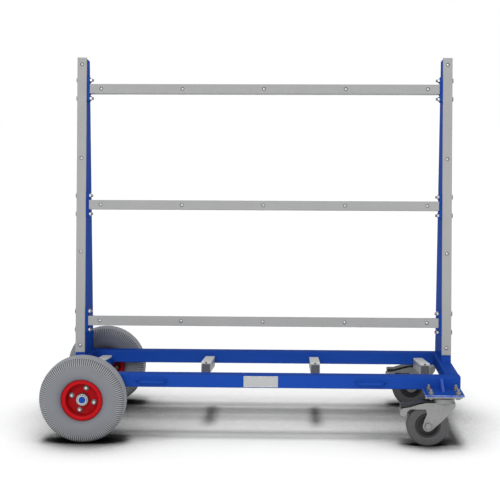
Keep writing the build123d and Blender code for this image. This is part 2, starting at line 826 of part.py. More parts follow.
# Outlines seen from the front, as shares of the castor wheel's radius from its axle
leg_shares = [
    (1.25, 0.92),
    (1.13, 0.76),
    (0.72, 0.3),
    (0.18, -0.19),
    (-0.25, -0.05),
    (-0.19, 0.27),
    (-0.06, 0.58),
    (-0.12, 0.81),
]
arm_shares = [
    (0.06, 0.81),
    (-0.86, 0.81),
    (-1.08, 0.6),
    (-1.26, 0.7),
    (-1.24, 0.84),
    (-0.89, 0.9),
    (-0.46, 1.035),
    (-0.15, 1.105),
]
cheek_bend_share = 1.05
spacer_share = (-1.17, 0.635)
pedal_pin_share = (-0.704, 0.896)
pedal_top_shares = [
    (-1.3, 0.87),
    (-1.3, 0.96),
    (-1.25, 0.99),
    (-0.95, 0.99),
    (-0.62, 1.09),
    (-0.3, 1.17),
    (0.1, 1.185),
]
pedal_low_shares = [(0.1, 1.135), (-0.14, 1.135), (-0.3, 1.12), (-0.62, 1.035), (-0.92, 0.92), (-1.2, 0.9)]
pedal_web_shares = [(-0.92, 0.94), (-0.975, 0.62), (-0.88, 0.48), (-0.5, 0.85), (-0.5, 1.08)]


def castor_point(share):
    """Point on a castor given as a share of its wheel's radius from its axle."""
    return (castor_wheel_x + share[0] * wheel_radius, castor_axle_z + share[1] * wheel_radius)


def upright_plane(y):
    """Plane seen from the front at a depth, local x along the cart and local y up."""
    return Plane(origin=(0, y, 0), x_dir=(1, 0, 0), z_dir=(0, -1, 0))


def castor_head_of(y):
    """Fixed top plate of a castor with its upper race."""
    with BuildPart() as head:
        with BuildSketch(Plane.XY.offset(plate_bottom_z)):
            with Locations((castor_x, y)):
                RectangleRounded(head_plate_length, head_plate_width, head_plate_round)
                with Locations(*bolt_grid):
                    Circle(bolt_hole_diameter / 2, mode=Mode.SUBTRACT)
        extrude(amount=head_plate_thickness)
        with BuildSketch(Plane.XY.offset(race_bottom_z)):
            with Locations((castor_x, y)):
                Circle(race_diameter / 2)
        extrude(amount=race_height)
        with BuildSketch(Plane.XY.offset(race_bottom_z)):
            with Locations((castor_x, y)):
                Circle(kingpin_diameter / 2 + running_fit)
        extrude(amount=race_height + head_plate_thickness, mode=Mode.SUBTRACT)
        with BuildSketch(Plane.XY.offset(castor_height)):
            with Locations((castor_x, y)):
                Circle(kingpin_head_diameter / 2 + running_fit)
        extrude(amount=-kingpin_head_height - 2 * working_gap, mode=Mode.SUBTRACT)
    return head


def fork_of(y):
    """Pressed fork: drum, crown, two cheeks with brake arms, and the spacer at their tips."""
    bend_z = castor_axle_z + wheel_radius * cheek_bend_share
    with BuildPart() as fork:
        for cheek_y in (y - cheek_inside / 2, y + cheek_inside / 2 + cheek_thickness):
            with BuildSketch(upright_plane(cheek_y)):
                with BuildLine():
                    Polyline(
                        (castor_point(leg_shares[-1])[0], crown_top_z),
                        (cheek_end_x, crown_top_z),
                        (cheek_end_x, bend_z),
                        *[castor_point(share) for share in leg_shares],
                        close=True,
                    )
                make_face()
                with BuildLine():
                    Polyline(
                        *[castor_point(share) for share in arm_shares],
                        (castor_point(arm_shares[0])[0], crown_top_z),
                        close=True,
                    )
                make_face()
                with Locations((castor_wheel_x, castor_axle_z)):
                    Circle(fork_foot_radius)
                with Locations(castor_point(spacer_share)):
                    Circle(spacer_diameter / 2)
                with Locations((castor_wheel_x, castor_axle_z)):
                    Circle(castor_bolt_diameter / 2 + hub_fit, mode=Mode.SUBTRACT)
                with Locations(castor_point(pedal_pin_share)):
                    Circle(pedal_pin_diameter / 2 + hub_fit, mode=Mode.SUBTRACT)
            extrude(amount=cheek_thickness)
        with BuildSketch(upright_plane(y + cheek_inside / 2)):
            with Locations(castor_point(spacer_share)):
                Circle(spacer_diameter / 2 - cheek_thickness)
        extrude(amount=cheek_inside)
        crown_left_x = castor_point(leg_shares[-1])[0]
        with BuildSketch(Plane.XY.offset(crown_bottom_z)):
            with Locations(((crown_left_x + cheek_end_x) / 2, y)):
                Rectangle(cheek_end_x - crown_left_x, 2 * cheek_outside)
        extrude(amount=crown_thickness)
        with BuildSketch(Plane.XY.offset(crown_top_z)):
            with Locations((castor_x, y)):
                Circle(drum_diameter / 2)
        extrude(amount=drum_top_z - crown_top_z)
        fillet(fork.faces().sort_by(Axis.Z)[-1].edges(), drum_round)
        with BuildSketch(Plane.XY.offset(crown_bottom_z)):
            with Locations((castor_x, y)):
                Circle(kingpin_diameter / 2 + running_fit)
        extrude(amount=drum_top_z - crown_bottom_z, mode=Mode.SUBTRACT)
    return fork


def castor_axle_of(y):
    """Axle bolt of a castor wheel and its nut."""
    bolt = hex_bolt(
        castor_bolt_diameter,
        castor_bolt_head_across,
        castor_bolt_head_height,
        2 * cheek_outside + lock_nut_height + rim_thread_past_nut,
    )
    nut = hex_nut(castor_bolt_diameter, castor_bolt_head_across, lock_nut_height)
    with BuildPart() as made:
        front = (castor_wheel_x, y - cheek_outside, castor_axle_z)
        with Locations(Plane(front, x_dir=(1, 0, 0), z_dir=(0, -1, 0))):
            add(bolt.part)
        back = (castor_wheel_x, y + cheek_outside, castor_axle_z)
        with Locations(Plane(back, x_dir=(1, 0, 0), z_dir=(0, 1, 0))):
            add(nut.part)
    return made


def castor_section(y):
    """Plane through a castor wheel's axle, local x towards the back and local y up."""
    return Plane(origin=(castor_wheel_x, y, castor_axle_z), x_dir=(0, 1, 0), z_dir=(1, 0, 0))


def tread_of(y):
    """Rubber tread of a castor wheel."""
    core_radius = castor_core_diameter / 2
    with BuildPart() as tread:
        with BuildSketch(castor_section(y)) as profile:
            with Locations((0, (wheel_radius + core_radius) / 2)):
                Rectangle(castor_wheel_width, wheel_radius - core_radius)
            fillet(profile.vertices().group_by(Axis.Z)[-1], castor_tread_round)
        revolve(axis=Axis((castor_wheel_x, y, castor_axle_z), (0, 1, 0)))
    return tread


def core_of(y):
    """Plastic centre of a castor wheel: hub, web and rim."""
    rim_outer = castor_core_diameter / 2 - castor_core_fit
    rim_inner = rim_outer - castor_rim_thickness
    hub_half = cheek_inside / 2 - working_gap
    with BuildPart() as core:
        with BuildSketch(castor_section(y)) as profile:
            with BuildLine():
                Polyline(
                    (0, castor_bolt_diameter / 2 + running_fit),
                    (hub_half, castor_bolt_diameter / 2 + running_fit),
                    (hub_half, castor_hub_diameter / 2),
                    (castor_web_thickness / 2, castor_hub_diameter / 2),
                    (castor_web_thickness / 2, rim_inner),
                    (castor_wheel_width / 2, rim_inner),
                    (castor_wheel_width / 2, rim_outer),
                    (0, rim_outer),
                )
                mirror(about=Plane.YZ)
            make_face()
            inner = [
                corner for corner in profile.vertices()
                if abs(abs(corner.Y - y) - castor_web_thickness / 2) < castor_web_round
            ]
            fillet(inner, castor_web_round)
        revolve(axis=Axis((castor_wheel_x, y, castor_axle_z), (0, 1, 0)))
    return core


def pedal_of(y):
    """Brake pedal: foot plate over the wheel, with a web that carries the pin and the shoe."""
    with BuildPart() as pedal:
        with BuildSketch(upright_plane(y + pedal_width / 2)):
            with BuildLine():
                Polyline(*[castor_point(share) for share in pedal_top_shares + pedal_low_shares], close=True)
            make_face()
        extrude(amount=pedal_width)
        with BuildSketch(upright_plane(y + pedal_web_width / 2)):
            with BuildLine():
                Polyline(*[castor_point(share) for share in pedal_web_shares], close=True)
            make_face()
            with Locations((castor_wheel_x, castor_axle_z)):
                Circle(wheel_radius + brake_gap, mode=Mode.SUBTRACT)
        extrude(amount=pedal_web_width)
        with BuildSketch(upright_plane(y + pedal_width / 2)):
            with Locations(castor_point(pedal_pin_share)):
                Circle(pedal_pin_diameter / 2 + running_fit)
        extrude(amount=pedal_width, mode=Mode.SUBTRACT)
    return pedal


def pedal_pin_of(y):
    """Riveted pin that the pedal rocks on."""
    with BuildPart() as pin:
        with BuildSketch(upright_plane(y + cheek_outside)):
            with Locations(castor_point(pedal_pin_share)):
                Circle(pedal_pin_diameter / 2)
        extrude(amount=2 * cheek_outside)
        for head_y in (y - cheek_outside, y + cheek_outside + pedal_pin_head_height):
            with BuildSketch(upright_plane(head_y)):
                with Locations(castor_point(pedal_pin_share)):
                    Circle(pedal_pin_head_diameter / 2)
            extrude(amount=pedal_pin_head_height)
    return pin


# Castors
for name, side in sides.items():
    castor_y = side * castor_track / 2
    keep(castor_head_of(castor_y), f"{name}_castor_head")
    keep(fork_of(castor_y), f"{name}_fork")
    keep(castor_axle_of(castor_y), f"{name}_castor_axle")
    keep(tread_of(castor_y), f"{name}_castor_tread")
    keep(core_of(castor_y), f"{name}_castor_core")
    keep(pedal_of(castor_y), f"{name}_brake_pedal")
    keep(pedal_pin_of(castor_y), f"{name}_pedal_pin")

# Kingpins, riveted flush in the top plates and nutted under the crowns
kingpin_top_z = castor_height - working_gap
kingpin_low_z = crown_bottom_z - working_gap - kingpin_nut_height
with BuildPart() as castor_kingpins:
    for side in sides.values():
        middle = (castor_x, side * castor_track / 2)
        with BuildSketch(Plane.XY.offset(kingpin_low_z)):
            with Locations(middle):
                Circle(kingpin_diameter / 2)
        extrude(amount=kingpin_top_z - kingpin_low_z)
        with BuildSketch(Plane.XY.offset(kingpin_top_z)):
            with Locations(middle):
                Circle(kingpin_head_diameter / 2)
        extrude(amount=-kingpin_head_height)
        with BuildSketch(Plane.XY.offset(kingpin_low_z)):
            with Locations(middle):
                RegularPolygon(kingpin_nut_across / 2, 6, major_radius=False)
        extrude(amount=kingpin_nut_height)
keep(castor_kingpins, "castor_kingpins")

# Bolts up through the castors' top plates and the mounting plates, with lock nuts above
castor_bolt_length = head_plate_thickness + castor_plate_thickness + lock_nut_height + castor_thread_past_nut
castor_bolt = hex_bolt(bolt_diameter, bolt_head_across, bolt_head_height, castor_bolt_length)
castor_nut = hex_nut(bolt_diameter, bolt_head_across, lock_nut_height)
castor_bolt_places = [
    (castor_x + x, side * castor_track / 2 + y) for side in sides.values() for x, y in bolt_grid
]
with BuildPart() as castor_bolts:
    with Locations(*[Plane((x, y, plate_bottom_z), z_dir=(0, 0, -1)) for x, y in castor_bolt_places]):
        add(castor_bolt.part)
keep(castor_bolts, "castor_bolts")
with BuildPart() as castor_nuts:
    with Locations(*[Plane((x, y, castor_plate_top_z), z_dir=(0, 0, 1)) for x, y in castor_bolt_places]):
        add(castor_nut.part)
keep(castor_nuts, "castor_nuts")
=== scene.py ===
# %% [markdown]
# # Slab cart
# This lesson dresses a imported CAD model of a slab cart. The CAD nodes are exact and stay where they
# are. Blender adds what a drawing leaves out: powder coat, zinc, rubber, ribs, welds and threads.
# Every length is in metres, in the same frame as the CAD, with +X towards the castors, the loading
# side at -Y and the floor at zero.

import json
import math

import bmesh
import bpy
from mathutils import Matrix, Vector


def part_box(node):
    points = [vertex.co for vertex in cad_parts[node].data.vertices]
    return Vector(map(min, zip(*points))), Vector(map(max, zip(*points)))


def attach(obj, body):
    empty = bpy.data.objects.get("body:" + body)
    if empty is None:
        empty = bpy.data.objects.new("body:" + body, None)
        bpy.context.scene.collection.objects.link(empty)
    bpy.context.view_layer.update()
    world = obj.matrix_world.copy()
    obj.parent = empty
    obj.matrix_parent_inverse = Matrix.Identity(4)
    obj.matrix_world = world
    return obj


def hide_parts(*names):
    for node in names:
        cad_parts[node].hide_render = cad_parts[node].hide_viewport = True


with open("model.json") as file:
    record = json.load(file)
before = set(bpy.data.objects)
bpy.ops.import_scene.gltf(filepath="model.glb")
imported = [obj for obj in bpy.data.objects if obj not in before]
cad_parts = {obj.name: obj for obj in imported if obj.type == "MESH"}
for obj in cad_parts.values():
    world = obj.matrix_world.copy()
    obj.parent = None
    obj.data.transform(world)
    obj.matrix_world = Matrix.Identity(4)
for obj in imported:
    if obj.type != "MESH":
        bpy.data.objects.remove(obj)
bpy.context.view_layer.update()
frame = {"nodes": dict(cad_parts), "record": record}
nodes = frame["nodes"]

# %% [markdown]
# ## Sizes
# The pieces made here sit on CAD nodes, so their places are read from the nodes' boxes wherever a
# box says enough. Only the sizes that no box gives are repeated from the part, in millimetres.

# %% Sizes and places that several pieces share
mm = 0.001
lean = math.radians(7.0)
sides = {"front": -1, "rear": 1}
face_foot_y = 20 * mm
rail_heights = [height * mm for height in (122.5, 494.85, 867.2)]
bolt_radius = 4 * mm
tube_bottom, tube_top = (corner.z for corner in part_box("front_tube"))
plate_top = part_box("front_castor_plate")[1].z


def middle_of(node):
    """Middle of a CAD node's box."""
    low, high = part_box(node)
    return (low + high) / 2


def half_size(node, axis):
    """Half of a CAD node's box along axis 0, 1 or 2."""
    low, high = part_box(node)
    return (high[axis] - low[axis]) / 2


def on_face(x, up, out):
    """Place along, up and out of the leaning face, whose foot stands on the tubes' top."""
    foot = Vector((middle_of("front_tube").x, face_foot_y, tube_top))
    return foot + Vector((x, up * math.sin(lean) - out * math.cos(lean),
                          up * math.cos(lean) + out * math.sin(lean)))


def in_mm(outline, way=1):
    """Outline of (along, radius) points given in millimetres, its first side towards way."""
    return [(way * a * mm, r * mm) for a, r in outline]


tyre_half, tyre_radius = half_size("front_tyre", 1), half_size("front_tyre", 2)
castor_radius = half_size("front_castor_tread", 2)
rail_end_x = half_size("top_rail", 0)
wheel_middles = {side: middle_of(f"{side}_tyre") for side in sides}
castor_middles = {side: middle_of(f"{side}_castor_tread") for side in sides}
swivel_middles = {side: middle_of(f"{side}_castor_head") for side in sides}
print(f"tyre radius {tyre_radius * 1000:.1f} mm, castor radius {castor_radius * 1000:.1f} mm")

# %% [markdown]
# ## Camera
# The photograph was taken from a little above the top rail's height, almost square to the loading
# side. One pinhole camera was fitted to the straight tubes and the wheels, and its place, pitch, yaw
# and roll are kept here. A camera looks along its own -Z, so its axes are put together from the view
# direction and then rolled.

# %% Place the camera
camera_place = Vector((0.10751, -3.8392, 0.9981))
pitch_down, yaw, roll = math.radians(6.63), math.radians(-1.78), math.radians(0.14)
focal_pixels, picture_pixels = 1230, 500
forward = Vector((math.sin(yaw) * math.cos(pitch_down), math.cos(yaw) * math.cos(pitch_down),
                  -math.sin(pitch_down)))
level_right = Vector((math.cos(yaw), -math.sin(yaw), 0))
level_up = level_right.cross(forward)
right = level_right * math.cos(roll) + level_up * math.sin(roll)
up = -level_right * math.sin(roll) + level_up * math.cos(roll)

camera_data = bpy.data.cameras.new("camera")
camera_data.sensor_width = 36.0
camera_data.lens = focal_pixels / picture_pixels * camera_data.sensor_width
camera = bpy.data.objects.new("camera", camera_data)
camera.matrix_world = Matrix.Translation(camera_place) @ Matrix((right, up, -forward)).transposed().to_4x4()
bpy.context.scene.collection.objects.link(camera)
bpy.context.scene.camera = camera
bpy.context.scene.view_settings.view_transform = "Standard"
print(f"lens {camera_data.lens:.2f} mm at {tuple(round(v, 3) for v in camera_place)}")

# %% [markdown]
# ## Node trees
# The world, the floor and every finish are node trees. These helpers add a node and fill it in one
# call, so that each tree below reads as the chain that it is.


# %% Helpers that build node trees
def add(tree, kind, values=(), **settings):
    """New node with its settings, and values or links for its named inputs."""
    node = tree.nodes.new(kind)
    for key, value in settings.items():
        setattr(node, key, value)
    for key, value in dict(values).items():
        if isinstance(value, bpy.types.NodeSocket):
            tree.links.new(value, node.inputs[key])
        else:
            node.inputs[key].default_value = value
    return node


def maths(tree, operation, a, b=0.0, clamp=False):
    """Math node's result."""
    return add(tree, "ShaderNodeMath", {0: a, 1: b}, operation=operation, use_clamp=clamp).outputs[0]


def spread(tree, value, low, high):
    """Value brought from low..high to 0..1."""
    node = add(tree, "ShaderNodeMapRange", {"Value": value, "From Min": low, "From Max": high})
    return node.outputs["Result"]


def blend(tree, amount, a, b):
    """Colour that goes from a to b, each a colour or a socket, as amount goes from 0 to 1."""
    first, second = (v if isinstance(v, bpy.types.NodeSocket) else (*v, 1) for v in (a, b))
    return add(tree, "ShaderNodeMix", {"Factor": amount, 6: first, 7: second}, data_type="RGBA").outputs[2]


def here(tree):
    """Object coordinates, which are the cart's own metres."""
    return add(tree, "ShaderNodeTexCoord").outputs["Object"]


def noise(tree, size, detail, roughness=0.5):
    """Cloudy value with size as its scale."""
    values = {"Vector": here(tree), "Scale": size, "Detail": detail, "Roughness": roughness}
    return add(tree, "ShaderNodeTexNoise", values).outputs["Fac"]


# %% [markdown]
# ## Floor and light
# A catalogue picture has a white floor that runs into a white background, with a soft shadow under
# the object. Both come from colour rather than from more light: the world shows white to camera,
# glossy and transmission rays, and lights surfaces with a plainer grey. The floor is darker than it
# looks and has three lamps of its own, linked to it alone. Two narrow ones throw the shadow's bands
# and a broad one fills them. Under the cart the floor's colour also darkens with how much is hidden
# from it, so its shadow stays deep while the cart is lit at a plain level.

# %% Make the world
world = bpy.data.worlds.new("studio")
bpy.context.scene.world = world
world.use_nodes = True
studio = world.node_tree
studio.nodes.clear()
rays = add(studio, "ShaderNodeLightPath").outputs
looked_at = maths(studio, "MAXIMUM", rays["Is Camera Ray"], rays["Is Glossy Ray"])
looked_at = maths(studio, "MAXIMUM", looked_at, rays["Is Transmission Ray"])
lighting = add(studio, "ShaderNodeBackground", {"Color": (0.96, 0.98, 1.0, 1), "Strength": 0.62})
seen = add(studio, "ShaderNodeBackground", {"Color": (1, 1, 1, 1), "Strength": 1.0})
mixed = add(studio, "ShaderNodeMixShader", {0: looked_at, 1: lighting.outputs[0], 2: seen.outputs[0]})
add(studio, "ShaderNodeOutputWorld", {"Surface": mixed.outputs[0]})
print("world: white to look at, grey to light with")

# %% Lay the floor
floor_reach = 60.0
floor_grey = 0.098
shadow_share = 0.08
hiding_reach = 0.4
shadow_full, shadow_gone = 0.5, 0.94
floor_bm = bmesh.new()
bmesh.ops.create_grid(floor_bm, x_segments=1, y_segments=1, size=floor_reach)
floor_mesh = bpy.data.meshes.new("floor")
floor_bm.to_mesh(floor_mesh)
floor_bm.free()
floor = bpy.data.objects.new("floor", floor_mesh)
bpy.context.scene.collection.objects.link(floor)
floor_finish = bpy.data.materials.new("floor_white")
floor_finish.use_nodes = True
floor_tree = floor_finish.node_tree
open_to_sky = add(floor_tree, "ShaderNodeAmbientOcclusion", {"Distance": hiding_reach}, samples=12)
shade_curve = add(floor_tree, "ShaderNodeMapRange", {
    "Value": open_to_sky.outputs["AO"], "From Min": shadow_full, "From Max": shadow_gone,
    "To Min": shadow_share * floor_grey, "To Max": floor_grey}, interpolation_type="SMOOTHSTEP")
floor_shader = floor_tree.nodes["Principled BSDF"]
floor_tree.links.new(shade_curve.outputs["Result"], floor_shader.inputs["Base Color"])
floor_shader.inputs["Roughness"].default_value = 1.0
floor_shader.inputs["Specular IOR Level"].default_value = 0.0
floor_mesh.materials.append(floor_finish)
print(f"floor {2 * floor_reach:.0f} m across")


# %% Hang the lamps
def sun(name, strength, soft_degrees, towards, colour=(1, 1, 1)):
    """Distant lamp whose rays travel in a direction."""
    data = bpy.data.lights.new(name, "SUN")
    data.energy = strength
    data.angle = math.radians(soft_degrees)
    data.color = colour
    lamp = bpy.data.objects.new(name, data)
    lamp.rotation_mode = "QUATERNION"
    lamp.rotation_quaternion = Vector(towards).to_track_quat("-Z", "Y")
    bpy.context.scene.collection.objects.link(lamp)
    return lamp


key_lamp = sun("key_lamp", 1.2, 35, (0.16, 1.0, -0.6), (1.0, 0.99, 0.97))
floor_lamps = [
    sun("floor_lamp", 14.0, 14, (0.03, 0.25, -1.0)),
    sun("second_floor_lamp", 12.0, 14, (0.03, -0.05, -1.0)),
    sun("broad_floor_lamp", 5.0, 70, (0.03, 0.1, -1.0)),
]
lit_by_floor_lamps = bpy.data.collections.new("lit_by_floor_lamps")
lit_by_floor_lamps.objects.link(floor)
for lamp in floor_lamps:
    lamp.light_linking.receiver_collection = lit_by_floor_lamps
print("lamps:", key_lamp.name, "and, for the floor alone,", ", ".join(lamp.name for lamp in floor_lamps))

# %% [markdown]
# ## Effects that several finishes share
# Paint, zinc and rubber all have marked edges, dust and a fine grain, only in other strengths. The
# edge mark is wear on most finishes and a painted highlight on a few, and some finishes darken their
# corners with painted shade. Each effect is a node group, built once, that gives a mask or a height.
# The shader stays in each material, which is where the numbers that suit that finish are set.


# %% An empty group
def group(name, inputs, outputs):
    """Empty node group with named float inputs and typed outputs, and its two end nodes."""
    tree = bpy.data.node_groups.new(name, "ShaderNodeTree")
    for key, value in inputs.items():
        socket = tree.interface.new_socket(name=key, in_out="INPUT", socket_type="NodeSocketFloat")
        socket.default_value = value
    for key, kind in outputs.items():
        tree.interface.new_socket(name=key, in_out="OUTPUT", socket_type=f"NodeSocket{kind}")
    print("group", name)
    return tree, tree.nodes.new("NodeGroupInput"), tree.nodes.new("NodeGroupOutput")


# %% Edge marks: wear, and on some finishes a painted highlight
edge_wear_and_highlight, edge_mark_in, edge_mark_out = group(
    "edge_wear_and_highlight", {"Width": 0.0015, "Amount": 1.0, "Patch Size": 60.0}, {"Mask": "Float", "Normal": "Vector"})
rounded = add(edge_wear_and_highlight, "ShaderNodeBevel", {"Radius": edge_mark_in.outputs["Width"]}, samples=4)
true_normal = add(edge_wear_and_highlight, "ShaderNodeNewGeometry").outputs["Normal"]
same = add(edge_wear_and_highlight, "ShaderNodeVectorMath", {0: rounded.outputs[0], 1: true_normal},
           operation="DOT_PRODUCT").outputs["Value"]
edge = spread(edge_wear_and_highlight, same, 0.995, 0.86)
patchy = spread(edge_wear_and_highlight, noise(edge_wear_and_highlight, edge_mark_in.outputs["Patch Size"], 4.0), 0.35, 0.65)
wear_and_highlight = maths(edge_wear_and_highlight, "MULTIPLY", edge, patchy)
wear_and_highlight = maths(edge_wear_and_highlight, "MULTIPLY", wear_and_highlight, edge_mark_in.outputs["Amount"], True)
edge_wear_and_highlight.links.new(wear_and_highlight, edge_mark_out.inputs["Mask"])
edge_wear_and_highlight.links.new(rounded.outputs[0], edge_mark_out.inputs["Normal"])

# %% Dust that settles on upward faces
settled_dust, dust_in, dust_out = group(
    "settled_dust", {"Amount": 0.3, "Patch Size": 14.0}, {"Mask": "Float"})
facing = add(settled_dust, "ShaderNodeTexCoord").outputs["Normal"]
facing_up = add(settled_dust, "ShaderNodeSeparateXYZ", {0: facing}).outputs["Z"]
cloud = noise(settled_dust, dust_in.outputs["Patch Size"], 6.0, 0.65)
dusty = maths(settled_dust, "MULTIPLY", spread(settled_dust, facing_up, 0.2, 1.0),
              spread(settled_dust, cloud, 0.3, 0.75))
dusty = maths(settled_dust, "MULTIPLY", dusty, dust_in.outputs["Amount"], True)
settled_dust.links.new(dusty, dust_out.inputs["Mask"])

# %% Painted shade in dark corners, where little light gets in
painted_corner_shade, corner_in, corner_out = group("painted_corner_shade", {"Reach": 0.02, "Amount": 0.5}, {"Mask": "Float"})
open_share = add(painted_corner_shade, "ShaderNodeAmbientOcclusion", {"Distance": corner_in.outputs["Reach"]},
                 samples=6)
closed_in = spread(painted_corner_shade, open_share.outputs["AO"], 0.95, 0.35)
closed_in = maths(painted_corner_shade, "MULTIPLY", closed_in, corner_in.outputs["Amount"], True)
painted_corner_shade.links.new(closed_in, corner_out.inputs["Mask"])

# %% Mottling: broad soft patches with a finer break-up
mottling, mottle_in, mottle_out = group("mottling", {"Size": 20.0, "Fine Size": 300.0}, {"Value": "Float"})
broad = maths(mottling, "MULTIPLY", noise(mottling, mottle_in.outputs["Size"], 3.0), 0.65)
fine = maths(mottling, "MULTIPLY", noise(mottling, mottle_in.outputs["Fine Size"], 2.0), 0.35)
both = spread(mottling, maths(mottling, "ADD", broad, fine), 0.3, 0.7)
mottling.links.new(both, mottle_out.inputs["Value"])

# %% Grain: a fine height, such as orange peel or moulded rubber
grain, grain_in, grain_out = group("grain", {"Size": 900.0, "Coarse Size": 250.0}, {"Height": "Float"})
small = maths(grain, "MULTIPLY", noise(grain, grain_in.outputs["Size"], 2.0), 0.6)
large = maths(grain, "MULTIPLY", noise(grain, grain_in.outputs["Coarse Size"], 1.0), 0.4)
grain.links.new(maths(grain, "ADD", small, large), grain_out.inputs["Height"])


# %% [markdown]
# ## Finishes
# A finish is one base colour that dust, edge marks and mottling push a little, and that painted shade
# darkens in corners where asked, a roughness that follows the same masks, and a bump. The helper takes
# those as numbers, so each finish below is one call and the differences between them are easy to read.


# %% A finish from its colours and strengths
def finish(name, colour, patch=None, wear_and_highlight=None, dust=(0.42, 0.41, 0.39), roughness=0.4, rougher=0.15,
           metallic=0.0, specular=0.5, coat=0.0, coat_roughness=0.1, edge_mark_amount=0.6, edge_mark_width=0.0015,
           dust_amount=0.25, mottle=(20.0, 300.0), mottle_share=0.5, grain_size=(900.0, 250.0), bump=0.1,
           bump_depth=0.00005, painted_shade_reach=0.02, painted_shade_amount=0.0):
    """Material whose colour is patched, dusted, marked at the edges by wear and, where asked, a painted
    highlight, and darkened in corners by painted shade, with a grain in its surface.
    """
    made = bpy.data.materials.new(name)
    made.use_nodes = True
    tree = made.node_tree
    shader = tree.nodes["Principled BSDF"]

    def use(effect, **values):
        named = {key.replace("_", " "): value for key, value in values.items()}
        return add(tree, "ShaderNodeGroup", named, node_tree=effect)

    patch = patch or tuple(0.8 * v for v in colour)
    wear_and_highlight = wear_and_highlight or tuple(min(1.0, 1.6 * v + 0.02) for v in colour)
    edges = use(edge_wear_and_highlight, Width=edge_mark_width, Amount=edge_mark_amount)
    dusted = use(settled_dust, Amount=dust_amount)
    mottled = use(mottling, Size=mottle[0], Fine_Size=mottle[1]).outputs["Value"]
    height = use(grain, Size=grain_size[0], Coarse_Size=grain_size[1]).outputs["Height"]
    shade = blend(tree, maths(tree, "MULTIPLY", mottled, mottle_share), colour, patch)
    shade = blend(tree, dusted.outputs["Mask"], shade, dust)
    shade = blend(tree, edges.outputs["Mask"], shade, wear_and_highlight)
    # Painted shade: corners that little light reaches are darkened in the base colour.
    if painted_shade_amount:
        corner = use(painted_corner_shade, Reach=painted_shade_reach, Amount=painted_shade_amount)
        shade = blend(tree, corner.outputs["Mask"], shade, tuple(0.15 * v for v in colour))
    tree.links.new(shade, shader.inputs["Base Color"])
    uneven = maths(tree, "MULTIPLY", mottled, rougher)
    uneven = maths(tree, "ADD", uneven, maths(tree, "MULTIPLY", dusted.outputs["Mask"], 0.3))
    tree.links.new(maths(tree, "ADD", uneven, roughness, True), shader.inputs["Roughness"])
    bumped = add(tree, "ShaderNodeBump", {"Height": height, "Normal": edges.outputs["Normal"],
                                          "Strength": bump, "Distance": bump_depth})
    tree.links.new(bumped.outputs[0], shader.inputs["Normal"])
    shader.inputs["Metallic"].default_value = metallic
    shader.inputs["Specular IOR Level"].default_value = specular
    shader.inputs["Coat Weight"].default_value = coat
    shader.inputs["Coat Roughness"].default_value = coat_roughness
    return made


# %% [markdown]
# The frame is powder coated in a deep blue with a fine orange peel, the rims in a signal red. Powder
# coat chips first on corners, and this cart is nearly new, so the frame's edge colour is only a lighter
# blue: partly that wear and partly a painted highlight along the corners. The castor plates' thin
# edges catch the light, and so do the gussets that stand on them, so both are painted with that light:
# the plates' blue has a near-white painted highlight on its edges, and the gussets are a lighter copy
# of the blue.

# %% Powder coats
frame_blue = (0.013, 0.066, 0.375)
blue_coat = {"dust": (0.1, 0.15, 0.34), "roughness": 0.42, "rougher": 0.12, "specular": 0.0, "coat": 0.05,
             "coat_roughness": 0.22, "dust_amount": 0.03, "mottle": (9.0, 160.0),
             "grain_size": (700.0, 260.0), "bump": 0.14, "bump_depth": 0.0001}
# The frame's lighter edge blue is partly wear and partly a painted highlight.
blue_paint = finish("blue_paint", frame_blue, patch=(0.011, 0.056, 0.32), wear_and_highlight=(0.04, 0.12, 0.52), edge_mark_amount=0.7,
                    edge_mark_width=0.0022, **blue_coat)
# Painted highlight: the castor plates' edges take a near-white tint through the edge mask.
plate_blue_painted_edge_highlight = finish("plate_blue_painted_edge_highlight", (0.015, 0.072, 0.4), patch=(0.013, 0.062, 0.35),
                          wear_and_highlight=(0.62, 0.7, 0.98), edge_mark_amount=1.8, edge_mark_width=0.0035, **blue_coat)
gusset_coat = blue_coat | {"roughness": 0.4, "coat": 0.08}
# Painted light: the gussets are a lighter copy of the frame blue, for the light they catch.
gusset_blue_painted_lighter = finish("gusset_blue_painted_lighter", (0.045, 0.11, 0.5), patch=(0.038, 0.095, 0.45), wear_and_highlight=(0.12, 0.2, 0.66),
                      edge_mark_amount=0.8, edge_mark_width=0.002, **gusset_coat)
# Painted shade: the rims' red darkens in the dish's corners and round the bolts.
red_paint = finish("red_paint", (0.5, 0.008, 0.013), patch=(0.41, 0.006, 0.01), wear_and_highlight=(0.66, 0.035, 0.04),
                   dust=(0.45, 0.1, 0.1), roughness=0.34, rougher=0.12, specular=0.0, coat=0.09,
                   coat_roughness=0.18, edge_mark_amount=0.6, edge_mark_width=0.0015, dust_amount=0.04, mottle=(25.0, 260.0),
                   grain_size=(800.0, 300.0), bump=0.12, bump_depth=0.00008, painted_shade_reach=0.03,
                   painted_shade_amount=0.6)
print("powder coats ready")

# %% [markdown]
# Zinc plating is a thin passivated metal skin: grey, a little blotchy, and duller than steel. Small
# turned pieces such as nuts and screws are plated brighter, and ground steel, as on bearings, is
# smoother still. All are metals, so they show the white studio.

# %% Metals
zinc_metallic = 0.85
